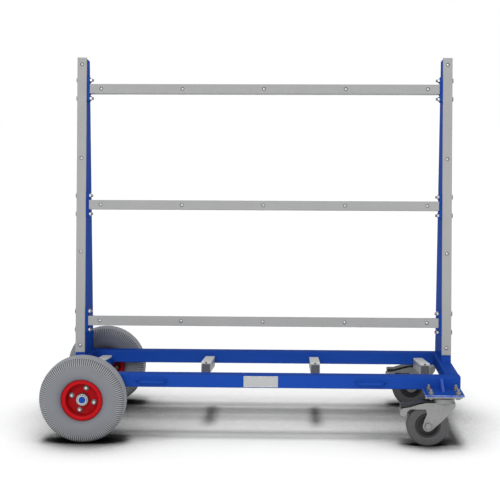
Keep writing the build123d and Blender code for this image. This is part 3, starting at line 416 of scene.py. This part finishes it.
# Painted shade: zinc and bright zinc darken round nuts and in their corners.
zinc_plate = finish("zinc_plate", (0.29, 0.294, 0.288), patch=(0.225, 0.23, 0.232), wear_and_highlight=(0.5, 0.5, 0.49),
                    roughness=0.38, rougher=0.18, metallic=zinc_metallic, edge_mark_amount=0.7, edge_mark_width=0.0012,
                    dust_amount=0.12, mottle=(38.0, 420.0), mottle_share=0.8, grain_size=(1500.0, 500.0),
                    bump=0.1, bump_depth=0.00004, painted_shade_reach=0.02, painted_shade_amount=0.5)
bright_zinc = finish("bright_zinc", (0.76, 0.77, 0.78), patch=(0.62, 0.63, 0.65), wear_and_highlight=(0.9, 0.9, 0.9),
                     roughness=0.24, rougher=0.15, metallic=1.0, edge_mark_amount=0.8, edge_mark_width=0.0006,
                     dust_amount=0.05, mottle=(90.0, 700.0), mottle_share=0.7, grain_size=(2500.0, 900.0),
                     bump=0.08, bump_depth=0.00003, painted_shade_reach=0.008, painted_shade_amount=0.9)
bearing_steel = finish("bearing_steel", (0.62, 0.62, 0.63), patch=(0.5, 0.5, 0.5), roughness=0.2,
                       rougher=0.1, metallic=1.0, edge_mark_amount=0.5, edge_mark_width=0.0005, dust_amount=0.05,
                       mottle=(120.0, 900.0), grain_size=(2500.0, 900.0), bump=0.05, bump_depth=0.00002)
silver_plate = finish("silver_plate", (0.46, 0.465, 0.475), patch=(0.4, 0.405, 0.41), roughness=0.34,
                      rougher=0.12, metallic=0.55, edge_mark_amount=0.5, edge_mark_width=0.0005, dust_amount=0.05,
                      mottle=(40.0, 900.0), grain_size=(3000.0, 700.0), bump=0.06, bump_depth=0.00002)
print("metals ready")

# %% [markdown]
# The four support arms are one CAD node. Three of them are bare zinc, but the one at the fixed
# wheels is painted with the frame. A mask along X tells them apart inside one material: where it is
# painted, the colour turns blue and the metal and its sheen go.

# %% Zinc arms with a painted one at the fixed wheels
first_arm_reach = 50 * mm
zinc_specular = 0.5
first_arm_end = min(vert.co.x for vert in nodes["support_arms"].data.vertices) + first_arm_reach
arm_metal = zinc_plate.copy()
arm_metal.name = "arm_metal"
arm_tree = arm_metal.node_tree
arm_shader = arm_tree.nodes["Principled BSDF"]
along = add(arm_tree, "ShaderNodeSeparateXYZ", {0: here(arm_tree)}).outputs["X"]
painted = maths(arm_tree, "LESS_THAN", along, first_arm_end)
bare = maths(arm_tree, "SUBTRACT", 1.0, painted)
zinc_shade = arm_shader.inputs["Base Color"].links[0].from_socket
arm_tree.links.new(blend(arm_tree, painted, zinc_shade, frame_blue), arm_shader.inputs["Base Color"])
arm_tree.links.new(maths(arm_tree, "MULTIPLY", bare, zinc_metallic), arm_shader.inputs["Metallic"])
arm_tree.links.new(maths(arm_tree, "MULTIPLY", bare, zinc_specular), arm_shader.inputs["Specular IOR Level"])
print("blue up to x", round(first_arm_end, 4))

# %% [markdown]
# The strips and pads are pale grey rubber, dull and very slightly open in the surface. The tyres are
# a cooler, darker foam-filled rubber. Their ribs are paler, partly as dust and partly as painted light,
# and the grooves between them are painted nearly black as shade. The castor treads are darker still,
# and the caps, castor centres and pedals are black moulded plastic with a satin grain.

# %% Rubbers and plastics
grey_rubber = finish("grey_rubber", (0.365, 0.365, 0.365), patch=(0.33, 0.33, 0.332),
                     wear_and_highlight=(0.45, 0.45, 0.45), roughness=0.62, rougher=0.15, specular=0.3, edge_mark_amount=0.6,
                     edge_mark_width=0.0014, dust_amount=0.1, mottle=(16.0, 500.0), grain_size=(1300.0, 380.0),
                     bump=0.25, bump_depth=0.00012)
pale_rubber = finish("pale_rubber", (0.66, 0.665, 0.66), patch=(0.6, 0.605, 0.6), wear_and_highlight=(0.74, 0.74, 0.74),
                     roughness=0.6, rougher=0.15, specular=0.3, edge_mark_amount=0.5, edge_mark_width=0.0012,
                     dust_amount=0.12, mottle=(30.0, 500.0), grain_size=(1300.0, 380.0), bump=0.25,
                     bump_depth=0.00012)
tyre_rubber = finish("tyre_rubber", (0.195, 0.203, 0.225), patch=(0.172, 0.18, 0.2), wear_and_highlight=(0.26, 0.27, 0.29),
                     dust=(0.3, 0.3, 0.3), roughness=0.58, rougher=0.16, specular=0.35, edge_mark_amount=0.6,
                     edge_mark_width=0.0014, dust_amount=0.12, mottle=(14.0, 420.0),
                     grain_size=(1100.0, 320.0), bump=0.3, bump_depth=0.00015)
# Painted shade: near-black rubber for the tyres' grooves.
groove_rubber_painted_shade = finish("groove_rubber_painted_shade", (0.035, 0.037, 0.042), patch=(0.025, 0.026, 0.03),
                       wear_and_highlight=(0.08, 0.08, 0.09), roughness=0.7, rougher=0.1, specular=0.2, edge_mark_amount=0.2,
                       edge_mark_width=0.0006, dust_amount=0.1, mottle=(30.0, 500.0),
                       grain_size=(1500.0, 500.0), bump=0.2, bump_depth=0.0001)
# Paler rubber for the ribs: partly dust, partly painted light on the shoulders.
rib_rubber_dust_and_painted_light = finish("rib_rubber_dust_and_painted_light", (0.31, 0.318, 0.338), patch=(0.27, 0.278, 0.295), wear_and_highlight=(0.45, 0.46, 0.48),
                    dust=(0.36, 0.36, 0.36), roughness=0.6, rougher=0.16, specular=0.35, edge_mark_amount=0.9,
                    edge_mark_width=0.0012, dust_amount=0.15, mottle=(14.0, 420.0), grain_size=(1100.0, 320.0),
                    bump=0.3, bump_depth=0.00015)
castor_rubber = finish("castor_rubber", (0.075, 0.075, 0.078), patch=(0.06, 0.06, 0.063),
                       wear_and_highlight=(0.12, 0.12, 0.12), dust=(0.2, 0.2, 0.19), roughness=0.5, rougher=0.18,
                       specular=0.4, edge_mark_amount=0.6, edge_mark_width=0.0012, dust_amount=0.12, mottle=(40.0, 500.0),
                       grain_size=(1400.0, 400.0), bump=0.25, bump_depth=0.0001)
black_plastic = finish("black_plastic", (0.014, 0.014, 0.016), patch=(0.01, 0.01, 0.011),
                       wear_and_highlight=(0.06, 0.06, 0.06), dust=(0.12, 0.12, 0.12), roughness=0.42, rougher=0.18,
                       specular=0.45, edge_mark_amount=0.6, edge_mark_width=0.0009, dust_amount=0.1, mottle=(45.0, 600.0),
                       grain_size=(1800.0, 600.0), bump=0.22, bump_depth=0.00008)
grey_plastic = finish("grey_plastic", (0.085, 0.09, 0.105), patch=(0.06, 0.063, 0.075),
                      wear_and_highlight=(0.16, 0.165, 0.18), dust=(0.2, 0.2, 0.2), roughness=0.5, rougher=0.15,
                      specular=0.3, edge_mark_amount=0.6, edge_mark_width=0.0009, dust_amount=0.05, mottle=(45.0, 600.0),
                      grain_size=(1800.0, 600.0), bump=0.2, bump_depth=0.00008)
print(f"{len(bpy.data.materials)} materials so far")

# %% [markdown]
# The record names a material slot for every CAD node, and a slot has one finish. A few nodes look
# different from the rest of their slot in the photograph, so those are listed by name.

# %% Give every CAD node its finish
finish_of_slot = {
    "blue_paint": blue_paint, "red_paint": red_paint, "zinc_plate": zinc_plate,
    "bearing_steel": bearing_steel, "silver_plate": silver_plate, "grey_rubber": grey_rubber,
    "pale_rubber": pale_rubber, "tyre_grey": tyre_rubber, "castor_rubber": castor_rubber,
    "black_plastic": black_plastic, "grey_plastic": grey_plastic,
}
finish_of_node = {
    "rail_nuts": bright_zinc, "strip_screws": bright_zinc, "axle_rings": bright_zinc,
    "front_castor_plate": plate_blue_painted_edge_highlight, "rear_castor_plate": plate_blue_painted_edge_highlight,
    "plate_gussets": gusset_blue_painted_lighter, "support_arms": arm_metal,
}
for part in frame["record"]["subparts"]:
    node = nodes[part["node"]]
    node.data.materials.clear()
    node.data.materials.append(finish_of_node.get(node.name, finish_of_slot[part["material_slot"]]))
print("finishes given to", len(nodes), "nodes,", len(finish_of_node), "of them by name")


# %% [markdown]
# ## Making a piece
# Each new piece starts as a bmesh that operators shape. At the end its doubles are merged, its
# normals are turned outwards, and faces that meet at a shallow angle are shaded as one surface.


# %% Turn a bmesh into a piece that rides on a body
def piece(bm, name, material, body, replaced=(), sharp=32.0):
    """Finished object from a bmesh, riding on a CAD body."""
    bmesh.ops.remove_doubles(bm, verts=bm.verts, dist=0.01 * mm)
    bmesh.ops.recalc_face_normals(bm, faces=bm.faces)
    mesh = bpy.data.meshes.new(name)
    bm.to_mesh(mesh)
    bm.free()
    mesh.materials.append(material)
    mesh.shade_smooth()
    mesh.set_sharp_from_angle(angle=math.radians(sharp))
    made = bpy.data.objects.new(name, mesh)
    bpy.context.scene.collection.objects.link(made)
    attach(made, body)
    if replaced:
        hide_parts(*replaced)
    print(f"{name}: {len(mesh.polygons)} faces on {body}")
    return made


# %% Lines and turned bodies
def curve_points(a, b, c, d, count):
    """Points along a cubic curve, from its start up to just before its end."""
    found = []
    for step in range(count):
        t = step / count
        weights = ((1 - t) ** 3, 3 * t * (1 - t) ** 2, 3 * t * t * (1 - t), t ** 3)
        found.append(tuple(sum(w * p[axis] for w, p in zip(weights, (a, b, c, d))) for axis in (0, 1)))
    return found


def line_of(bm, points, closed=False):
    """Chain of edges through points, to be spun or extruded."""
    chain = [bm.verts.new(point) for point in points]
    edges = [bm.edges.new(pair) for pair in zip(chain, chain[1:])]
    if closed:
        edges.append(bm.edges.new((chain[-1], chain[0])))
    return chain + edges


def turned(bm, outline, middle, steps, axis=Vector((0, 1, 0)), closed=True):
    """Body turned about an axis from an outline of (along, radius) points."""
    out = axis.orthogonal().normalized()
    chain = line_of(bm, [middle + axis * a + out * r for a, r in outline], closed)
    bmesh.ops.spin(bm, geom=chain, cent=middle, axis=axis, dvec=(0, 0, 0), angle=2 * math.pi, steps=steps,
                   use_merge=True)


# %% [markdown]
# ## Tyres
# The fixed wheels carry solid grey tyres. Their sidewalls are smooth, the shoulders have fine
# radial ribs with grooves between them, and three shallow grooves run round the crown. The ribs'
# rubber is paler, partly as dust and partly as painted light on shoulders that the lamp leaves
# darker, and the grooves hold painted shade in near-black rubber. Displacing a whole ring would
# need a very fine mesh. One rib and one groove repeat all the way round, so a single pitch is made
# in detail and then copied by spin.

# %% Outline of a tyre
bead_half, bead_radius, bead_lip = 25.7 * mm, 50.5 * mm, 62.75 * mm
crown_grooves = ((14.5 * mm, 11.5 * mm), (2.0 * mm, 0.0))
crown_groove_depth = 2.0 * mm
crown_half, crown_inner = 20 * mm, 120 * mm
wall_foot = 62.5 * mm
widest = wall_foot + (tyre_radius - wall_foot) * 0.36
wall_turn = (bead_half + (tyre_half - bead_half) * 0.6, bead_lip)
upper_turn = (tyre_half, bead_lip + (widest - bead_lip) * 0.6)
shoulder_turn = (tyre_half, widest + (tyre_radius - widest) * 0.8)
crown_turn = (tyre_half * 0.85, tyre_radius)
half_outline = [(0.0, bead_radius), (bead_half, bead_radius)]
half_outline += curve_points((bead_half, bead_lip), wall_turn, upper_turn, (tyre_half, widest), 7)
half_outline += curve_points((tyre_half, widest), shoulder_turn, crown_turn, (0.0, tyre_radius), 22)


def grooved(outline):
    """Half outline whose crown dips at the grooves."""
    made = [point for point in outline if not (point[1] > crown_inner and point[0] < crown_half)]
    for outer, inner in crown_grooves:
        made += [(outer + 0.5 * mm, tyre_radius - 0.2 * mm), (outer, tyre_radius - crown_groove_depth),
                 (inner, tyre_radius - crown_groove_depth)]
        if inner > 0:
            made.append((inner - 0.5 * mm, tyre_radius - 0.05 * mm))
    return made


half_outline = grooved(half_outline)
tyre_outline = half_outline + [(-a, r) for a, r in reversed(half_outline) if a > 0]
print(len(tyre_outline), "points in a tyre's outline")

# %% Spin one pitch, sink its groove, then spin it round
rib_count = 120
rib_inner, rib_outer = 106 * mm, 127 * mm
rib_groove_depth, rib_groove_wall = 2.2 * mm, 0.25 * mm
shoulder_from = 20 * mm
wall_index, groove_index, rib_index = 0, 1, 2


def make_tyre(side):
    """Ribbed tyre in the place of the CAD one, with painted shade in its grooves and paler ribs that are
    partly dust and partly painted light.
    """
    middle = wheel_middles[side]
    pitch = 2 * math.pi / rib_count
    bm = bmesh.new()
    chain = line_of(bm, [middle + Vector((0, a, r)) for a, r in tyre_outline], closed=True)
    bmesh.ops.spin(bm, geom=chain, cent=middle, axis=(0, 1, 0), dvec=(0, 0, 0), angle=pitch, steps=3)
    bmesh.ops.recalc_face_normals(bm, faces=bm.faces)
    for way in (-1, 1):
        chosen = []
        for face in bm.faces:
            place = face.calc_center_median() - middle
            radius = math.hypot(place.x, place.z)
            mid_pitch = 0.4 < abs(math.atan2(place.x, place.z)) / pitch < 0.6
            on_shoulder = rib_inner < radius < rib_outer and way * place.y > shoulder_from
            if mid_pitch and on_shoulder:
                chosen.append(face)
        walls = bmesh.ops.inset_region(bm, faces=chosen, thickness=rib_groove_wall, depth=-rib_groove_depth,
                                       use_even_offset=True)["faces"]
        # Painted shade: the grooves and their walls take the near-black rubber.
        for face in chosen + walls:
            face.material_index = groove_index
    # Paler rubber on the ribs: partly dust, partly painted light.
    for face in bm.faces:
        place = face.calc_center_median() - middle
        if face.material_index == wall_index and math.hypot(place.x, place.z) > rib_inner:
            face.material_index = rib_index
    bmesh.ops.spin(bm, geom=bm.verts[:] + bm.edges[:] + bm.faces[:], cent=middle, axis=(0, 1, 0),
                   dvec=(0, 0, 0), angle=2 * math.pi - pitch, steps=rib_count - 1, use_duplicate=True)
    made = piece(bm, f"{side}_ribbed_tyre", tyre_rubber, f"{side}_wheel", [f"{side}_tyre"])
    made.data.materials.append(groove_rubber_painted_shade)
    made.data.materials.append(rib_rubber_dust_and_painted_light)


for side in sides:
    make_tyre(side)

# %% [markdown]
# ## Rims
# Each rim is pressed from two sheets. The dish runs into the barrel in a soft bend, and the flange
# rolls over the tyre's bead as a wide rounded ring, which is what catches the light in the photograph.
# The outline is drawn once, as distances out from the wheel's middle plane and radii.

# %% Press the rims
rim_outline = [(2.65, 18.05), (2.65, 40.5), (3.2, 42.8), (4.8, 44.9), (7.4, 46.4), (11.0, 47.3), (21.0, 48.0),
               (24.6, 48.5), (26.8, 49.9), (28.0, 52.0), (28.45, 54.6), (28.45, 57.4), (28.1, 59.8),
               (27.4, 61.5), (26.7, 62.4), (26.1, 62.2), (25.98, 61.2), (25.98, 51.6), (25.0, 50.3),
               (6.0, 50.2), (2.2, 48.8), (0.6, 46.0), (0.15, 43.0), (0.15, 18.05)]


def make_rim(side, half, way):
    """One pressed half of a wheel's rim, its flange towards way."""
    bm = bmesh.new()
    turned(bm, in_mm(rim_outline, way), wheel_middles[side], 96)
    piece(bm, f"{side}_{half}_rim_pressing", red_paint, f"{side}_wheel",
          [f"{side}_{half}_rim"], sharp=50)


for side, outwards in sides.items():
    make_rim(side, "outer", outwards)
    make_rim(side, "inner", -outwards)

# %% [markdown]
# The bearings are closed by black rubber seals, a little proud of the ring they sit in. The rim's
# four bolts have thin washers, which show as a dark line under each head, and a bright turned end in
# the middle of the head.

# %% Seal the bearings and dress the rim bolts
seal_outline = [(19.3, 11.6), (20.1, 11.9), (20.25, 12.6), (20.25, 14.0), (20.1, 14.6), (19.3, 14.9)]
washer_outline = [(0.0, 4.1), (1.0, 4.1), (1.2, 4.5), (1.2, 8.0), (0.9, 8.4), (0.0, 8.4)]
bolt_end_outline = [(-1.0, 0.0), (-1.0, 3.6), (0.3, 3.6), (0.9, 3.0), (1.1, 1.8), (1.1, 0.0)]
rim_bolt_count, rim_bolt_circle, rim_bolt_turn = 4, 35 * mm, math.radians(-17)
rim_dish_out = 2.65 * mm


def rim_bolt_places(side, y):
    """Places of a wheel's rim bolts, all at y."""
    middle = wheel_middles[side]
    found = []
    for step in range(rim_bolt_count):
        turn = rim_bolt_turn + 2 * math.pi * step / rim_bolt_count
        found.append(Vector((middle.x + rim_bolt_circle * math.cos(turn), y,
                             middle.z + rim_bolt_circle * math.sin(turn))))
    return found


def make_seals(side):
    """Seals on both ends of a wheel's hub."""
    bm = bmesh.new()
    for way in (-1, 1):
        turned(bm, in_mm(seal_outline, way), wheel_middles[side], 48)
    piece(bm, f"{side}_bearing_seals", black_plastic, f"{side}_wheel", sharp=50)


def make_rim_washers(side):
    """Washers under the heads of a wheel's rim bolts."""
    bm = bmesh.new()
    for place in rim_bolt_places(side, wheel_middles[side].y + sides[side] * rim_dish_out):
        turned(bm, in_mm(washer_outline, sides[side]), place, 24)
    piece(bm, f"{side}_rim_washers", zinc_plate, f"{side}_wheel")


def make_rim_bolt_ends(side):
    """Turned ends on the heads of a wheel's rim bolts, which shine in the middle of each head."""
    bm = bmesh.new()
    low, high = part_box(f"{side}_rim_bolts")
    for place in rim_bolt_places(side, low.y if sides[side] < 0 else high.y):
        turned(bm, in_mm(bolt_end_outline, sides[side]), place, 24, closed=False)
    piece(bm, f"{side}_rim_bolt_ends", bright_zinc, f"{side}_wheel")


for make in (make_seals, make_rim_washers, make_rim_bolt_ends):
    for side in sides:
        make(side)

# %% [markdown]
# ## Welds
# The frame is welded, and each seam is a low rippled bead. A bead is a wavy line turned about its own
# seam, so only its outer part shows and the rest is sunk in the two tubes that it joins. All beads
# are painted with the frame.


# %% A rippled bead along a seam
def bead(bm, start, end, radius=2.1 * mm, ripple=2.0 * mm):
    """Wavy line turned about a seam."""
    along = end - start
    out = along.orthogonal().normalized()
    count = max(3, round(along.length / ripple)) * 4
    points = [start.copy()]
    for step in range(1, count):
        swell = 0.84 + 0.16 * abs(math.sin(math.pi * step / 4))
        taper = min(1.0, 0.55 + step / 8, 0.55 + (count - step) / 8)
        points.append(start + along * (step / count) + out * radius * swell * taper)
    points.append(end.copy())
    bmesh.ops.spin(bm, geom=line_of(bm, points), cent=start, axis=along.normalized(), dvec=(0, 0, 0),
                   angle=2 * math.pi, steps=10, use_merge=True)


# %% Seams where the end tubes and the uprights meet the long tubes
seams = []
seam_short = 2 * mm
upright_foot_y = 26.04 * mm


def seam(start, end):
    """Note a seam between two places."""
    seams.append((Vector(start), Vector(end)))


for node in ("left_end_tube", "right_end_tube"):
    low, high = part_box(node)
    inner_x = high.x if node.startswith("left") else low.x
    for y in (low.y, high.y):
        for z in (tube_bottom, tube_top):
            seam((low.x + 3 * mm, y, z), (high.x - 3 * mm, y, z))
        seam((inner_x, y, tube_bottom + 4 * mm), (inner_x, y, tube_top - 4 * mm))
for node in ("left_upright", "right_upright"):
    low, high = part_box(node)
    seam((low.x + seam_short, upright_foot_y, tube_top), (high.x - seam_short, upright_foot_y, tube_top))
    for x in (low.x, high.x):
        seam((x, upright_foot_y + 3 * mm, tube_top), (x, high.y - 4 * mm, tube_top))
print(len(seams), "seams at the long tubes")

# %% Seams round the rails' ends, where their flanges are
rail_front, rail_back, rail_half = -6 * mm, -36 * mm, 15 * mm
for height in rail_heights:
    for x in (-rail_end_x, rail_end_x):
        for out in (rail_front, rail_back):
            seam(on_face(x, height - rail_half + seam_short, out),
                 on_face(x, height + rail_half - seam_short, out))
        for step in (-rail_half, rail_half):
            seam(on_face(x, height + step, rail_front - seam_short),
                 on_face(x, height + step, rail_back + seam_short))
print(len(seams), "seams with the rails'")

# %% Seams of the castor plates, their gussets and the axle hangers
tube_outer_y, hanger_inner_y, hanger_outer_y = 200 * mm, 175 * mm, 185 * mm
gusset_half, gusset_reach, gusset_below_top, hanger_half = 4 * mm, 52 * mm, 7 * mm, 36 * mm
for side, way in sides.items():
    low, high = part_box(f"{side}_castor_plate")
    face_y = way * tube_outer_y
    gusset_start_y, gusset_end_y = way * (tube_outer_y + seam_short), way * (tube_outer_y + gusset_reach)
    seam((low.x + 3 * mm, face_y, plate_top), (high.x - 3 * mm, face_y, plate_top))
    for x in ((low.x + high.x) / 2 - gusset_half, (low.x + high.x) / 2 + gusset_half):
        seam((x, face_y, plate_top + seam_short), (x, face_y, tube_top - gusset_below_top))
        seam((x, gusset_start_y, plate_top), (x, gusset_end_y, plate_top))
    wheel_x = wheel_middles[side].x
    for y in (way * hanger_inner_y, way * hanger_outer_y):
        seam((wheel_x - hanger_half, y, tube_bottom), (wheel_x + hanger_half, y, tube_bottom))
print(len(seams), "seams in all")

# %% Lay the beads, and a collar at each foot of the lashing bars
collar_outline = [(-0.5, 2), (-0.5, 7.5), (0.8, 6.6), (1.6, 5.4), (2.6, 2)]
bar_foot_in, bar_other_foot = 5 * mm, 83 * mm
weld_bm = bmesh.new()
for start, end in seams:
    bead(weld_bm, start, end)
bar_low, bar_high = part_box("lashing_bars")
tube_face_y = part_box("front_tube")[0].y
for x in (bar_low.x + bar_foot_in, bar_low.x + bar_other_foot, bar_high.x - bar_other_foot,
          bar_high.x - bar_foot_in):
    turned(weld_bm, in_mm(collar_outline), Vector((x, tube_face_y, (bar_low.z + bar_high.z) / 2)), 20,
           Vector((0, -1, 0)))
piece(weld_bm, "frame_welds", blue_paint, "frame", sharp=60)

# %% [markdown]
# ## Threads and washers
# The CAD bolts end in plain rods. Where a thread shows, which is past the nuts, a stack of crests is
# turned over the rod. The castors' lock nuts also stand on washers.


# %% Cut the threads that show
def thread(bm, start, axis, length, radius=bolt_radius, pitch=1.25 * mm):
    """Row of thread crests round a rod, with a chamfered end."""
    outline = [(0.0, radius - 0.7 * mm), (0.0, radius)]
    for turn in range(int(length / pitch)):
        outline += [((turn + 0.5) * pitch, radius + 0.28 * mm), ((turn + 0.95) * pitch, radius - 0.05 * mm)]
    outline += [(length - 0.1 * mm, radius - 0.3 * mm), (length + 0.05 * mm, radius - 0.9 * mm)]
    turned(bm, outline, start, 18, axis, closed=False)


flange_bolt_step, flange_bolt_out = 29.5 * mm, -21 * mm
rail_nut_height, rail_thread = 6.5 * mm, 6 * mm
castor_bolt_x, castor_bolt_y = 40 * mm, 30 * mm
castor_nut_height, castor_thread = 8 * mm, 8 * mm
thread_bm = bmesh.new()
for height in rail_heights:
    for step in (-flange_bolt_step, flange_bolt_step):
        for way in (-1, 1):
            start = on_face(way * (rail_end_x - rail_nut_height), height + step, flange_bolt_out)
            thread(thread_bm, start, Vector((-way, 0, 0)), rail_thread)
castor_bolt_places = [
    Vector((swivel_middles[side].x + x, swivel_middles[side].y + y, plate_top))
    for side in sides for x in (-castor_bolt_x, castor_bolt_x) for y in (-castor_bolt_y, castor_bolt_y)
]
for place in castor_bolt_places:
    thread(thread_bm, place + Vector((0, 0, castor_nut_height)), Vector((0, 0, 1)), castor_thread)
piece(thread_bm, "bolt_threads", zinc_plate, "frame")

# %% Put washers under the castors' lock nuts
washer_bm = bmesh.new()
for place in castor_bolt_places:
    turned(washer_bm, in_mm(washer_outline), place, 28, Vector((0, 0, 1)))
piece(washer_bm, "castor_washers", zinc_plate, "frame")

# %% [markdown]
# ## Small things on the front tube and the pedals
# The bare plate gets a fine raised border. The pedals have cross ribs where a shoe presses.

# %% Border of the bare plate
border_from_edge, border_width, border_height = 1.5 * mm, 0.9 * mm, 0.3 * mm
plate_low, plate_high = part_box("label_plate")
plate_size = plate_high - plate_low
border_bm = bmesh.new()
bmesh.ops.create_grid(border_bm, x_segments=1, y_segments=1, size=0.5)
bmesh.ops.scale(border_bm, verts=border_bm.verts,
                vec=(plate_size.x - 2 * border_from_edge, plate_size.z - 2 * border_from_edge, 1))
bmesh.ops.rotate(border_bm, verts=border_bm.verts, cent=(0, 0, 0),
                 matrix=Matrix.Rotation(math.radians(90), 3, "X"))
bmesh.ops.translate(border_bm, verts=border_bm.verts,
                    vec=((plate_low.x + plate_high.x) / 2, plate_low.y, (plate_low.z + plate_high.z) / 2))
inner_faces = border_bm.faces[:]
bmesh.ops.inset_region(border_bm, faces=inner_faces, thickness=border_width, use_boundary=True,
                       use_even_offset=True)
bmesh.ops.delete(border_bm, geom=inner_faces, context="FACES")
bmesh.ops.solidify(border_bm, geom=border_bm.faces[:], thickness=border_height)
border_back = max(vert.co.y for vert in border_bm.verts)
bmesh.ops.translate(border_bm, vec=(0, plate_low.y - border_back, 0), verts=border_bm.verts)
piece(border_bm, "label_border", bearing_steel, "frame")

# %% Ribs on the pedals
pedal_rib_size = Vector((2.2, 35, 1.6)) * mm
pedal_rib_count, first_rib_share, rib_step_share, pedal_top_share = 5, -1.23, 0.065, 0.99


def make_pedal_ribs(side):
    """Cross ribs on the toe half of a brake pedal, placed in shares of the castor wheel's radius."""
    bm = bmesh.new()
    for step in range(pedal_rib_count):
        share = first_rib_share + rib_step_share * step
        place = castor_middles[side] + Vector((share * castor_radius, 0, pedal_top_share * castor_radius))
        made = bmesh.ops.create_cube(bm, size=1.0)["verts"]
        bmesh.ops.scale(bm, vec=pedal_rib_size, verts=made)
        bmesh.ops.translate(bm, vec=place, verts=made)
        edges = list({edge for vert in made for edge in vert.link_edges})
        bmesh.ops.bevel(bm, geom=edges, offset=0.5 * mm, segments=3, affect="EDGES", profile=0.5, material=-1)
    piece(bm, f"{side}_pedal_ribs", black_plastic, f"{side}_pedal")


for side in sides:
    make_pedal_ribs(side)
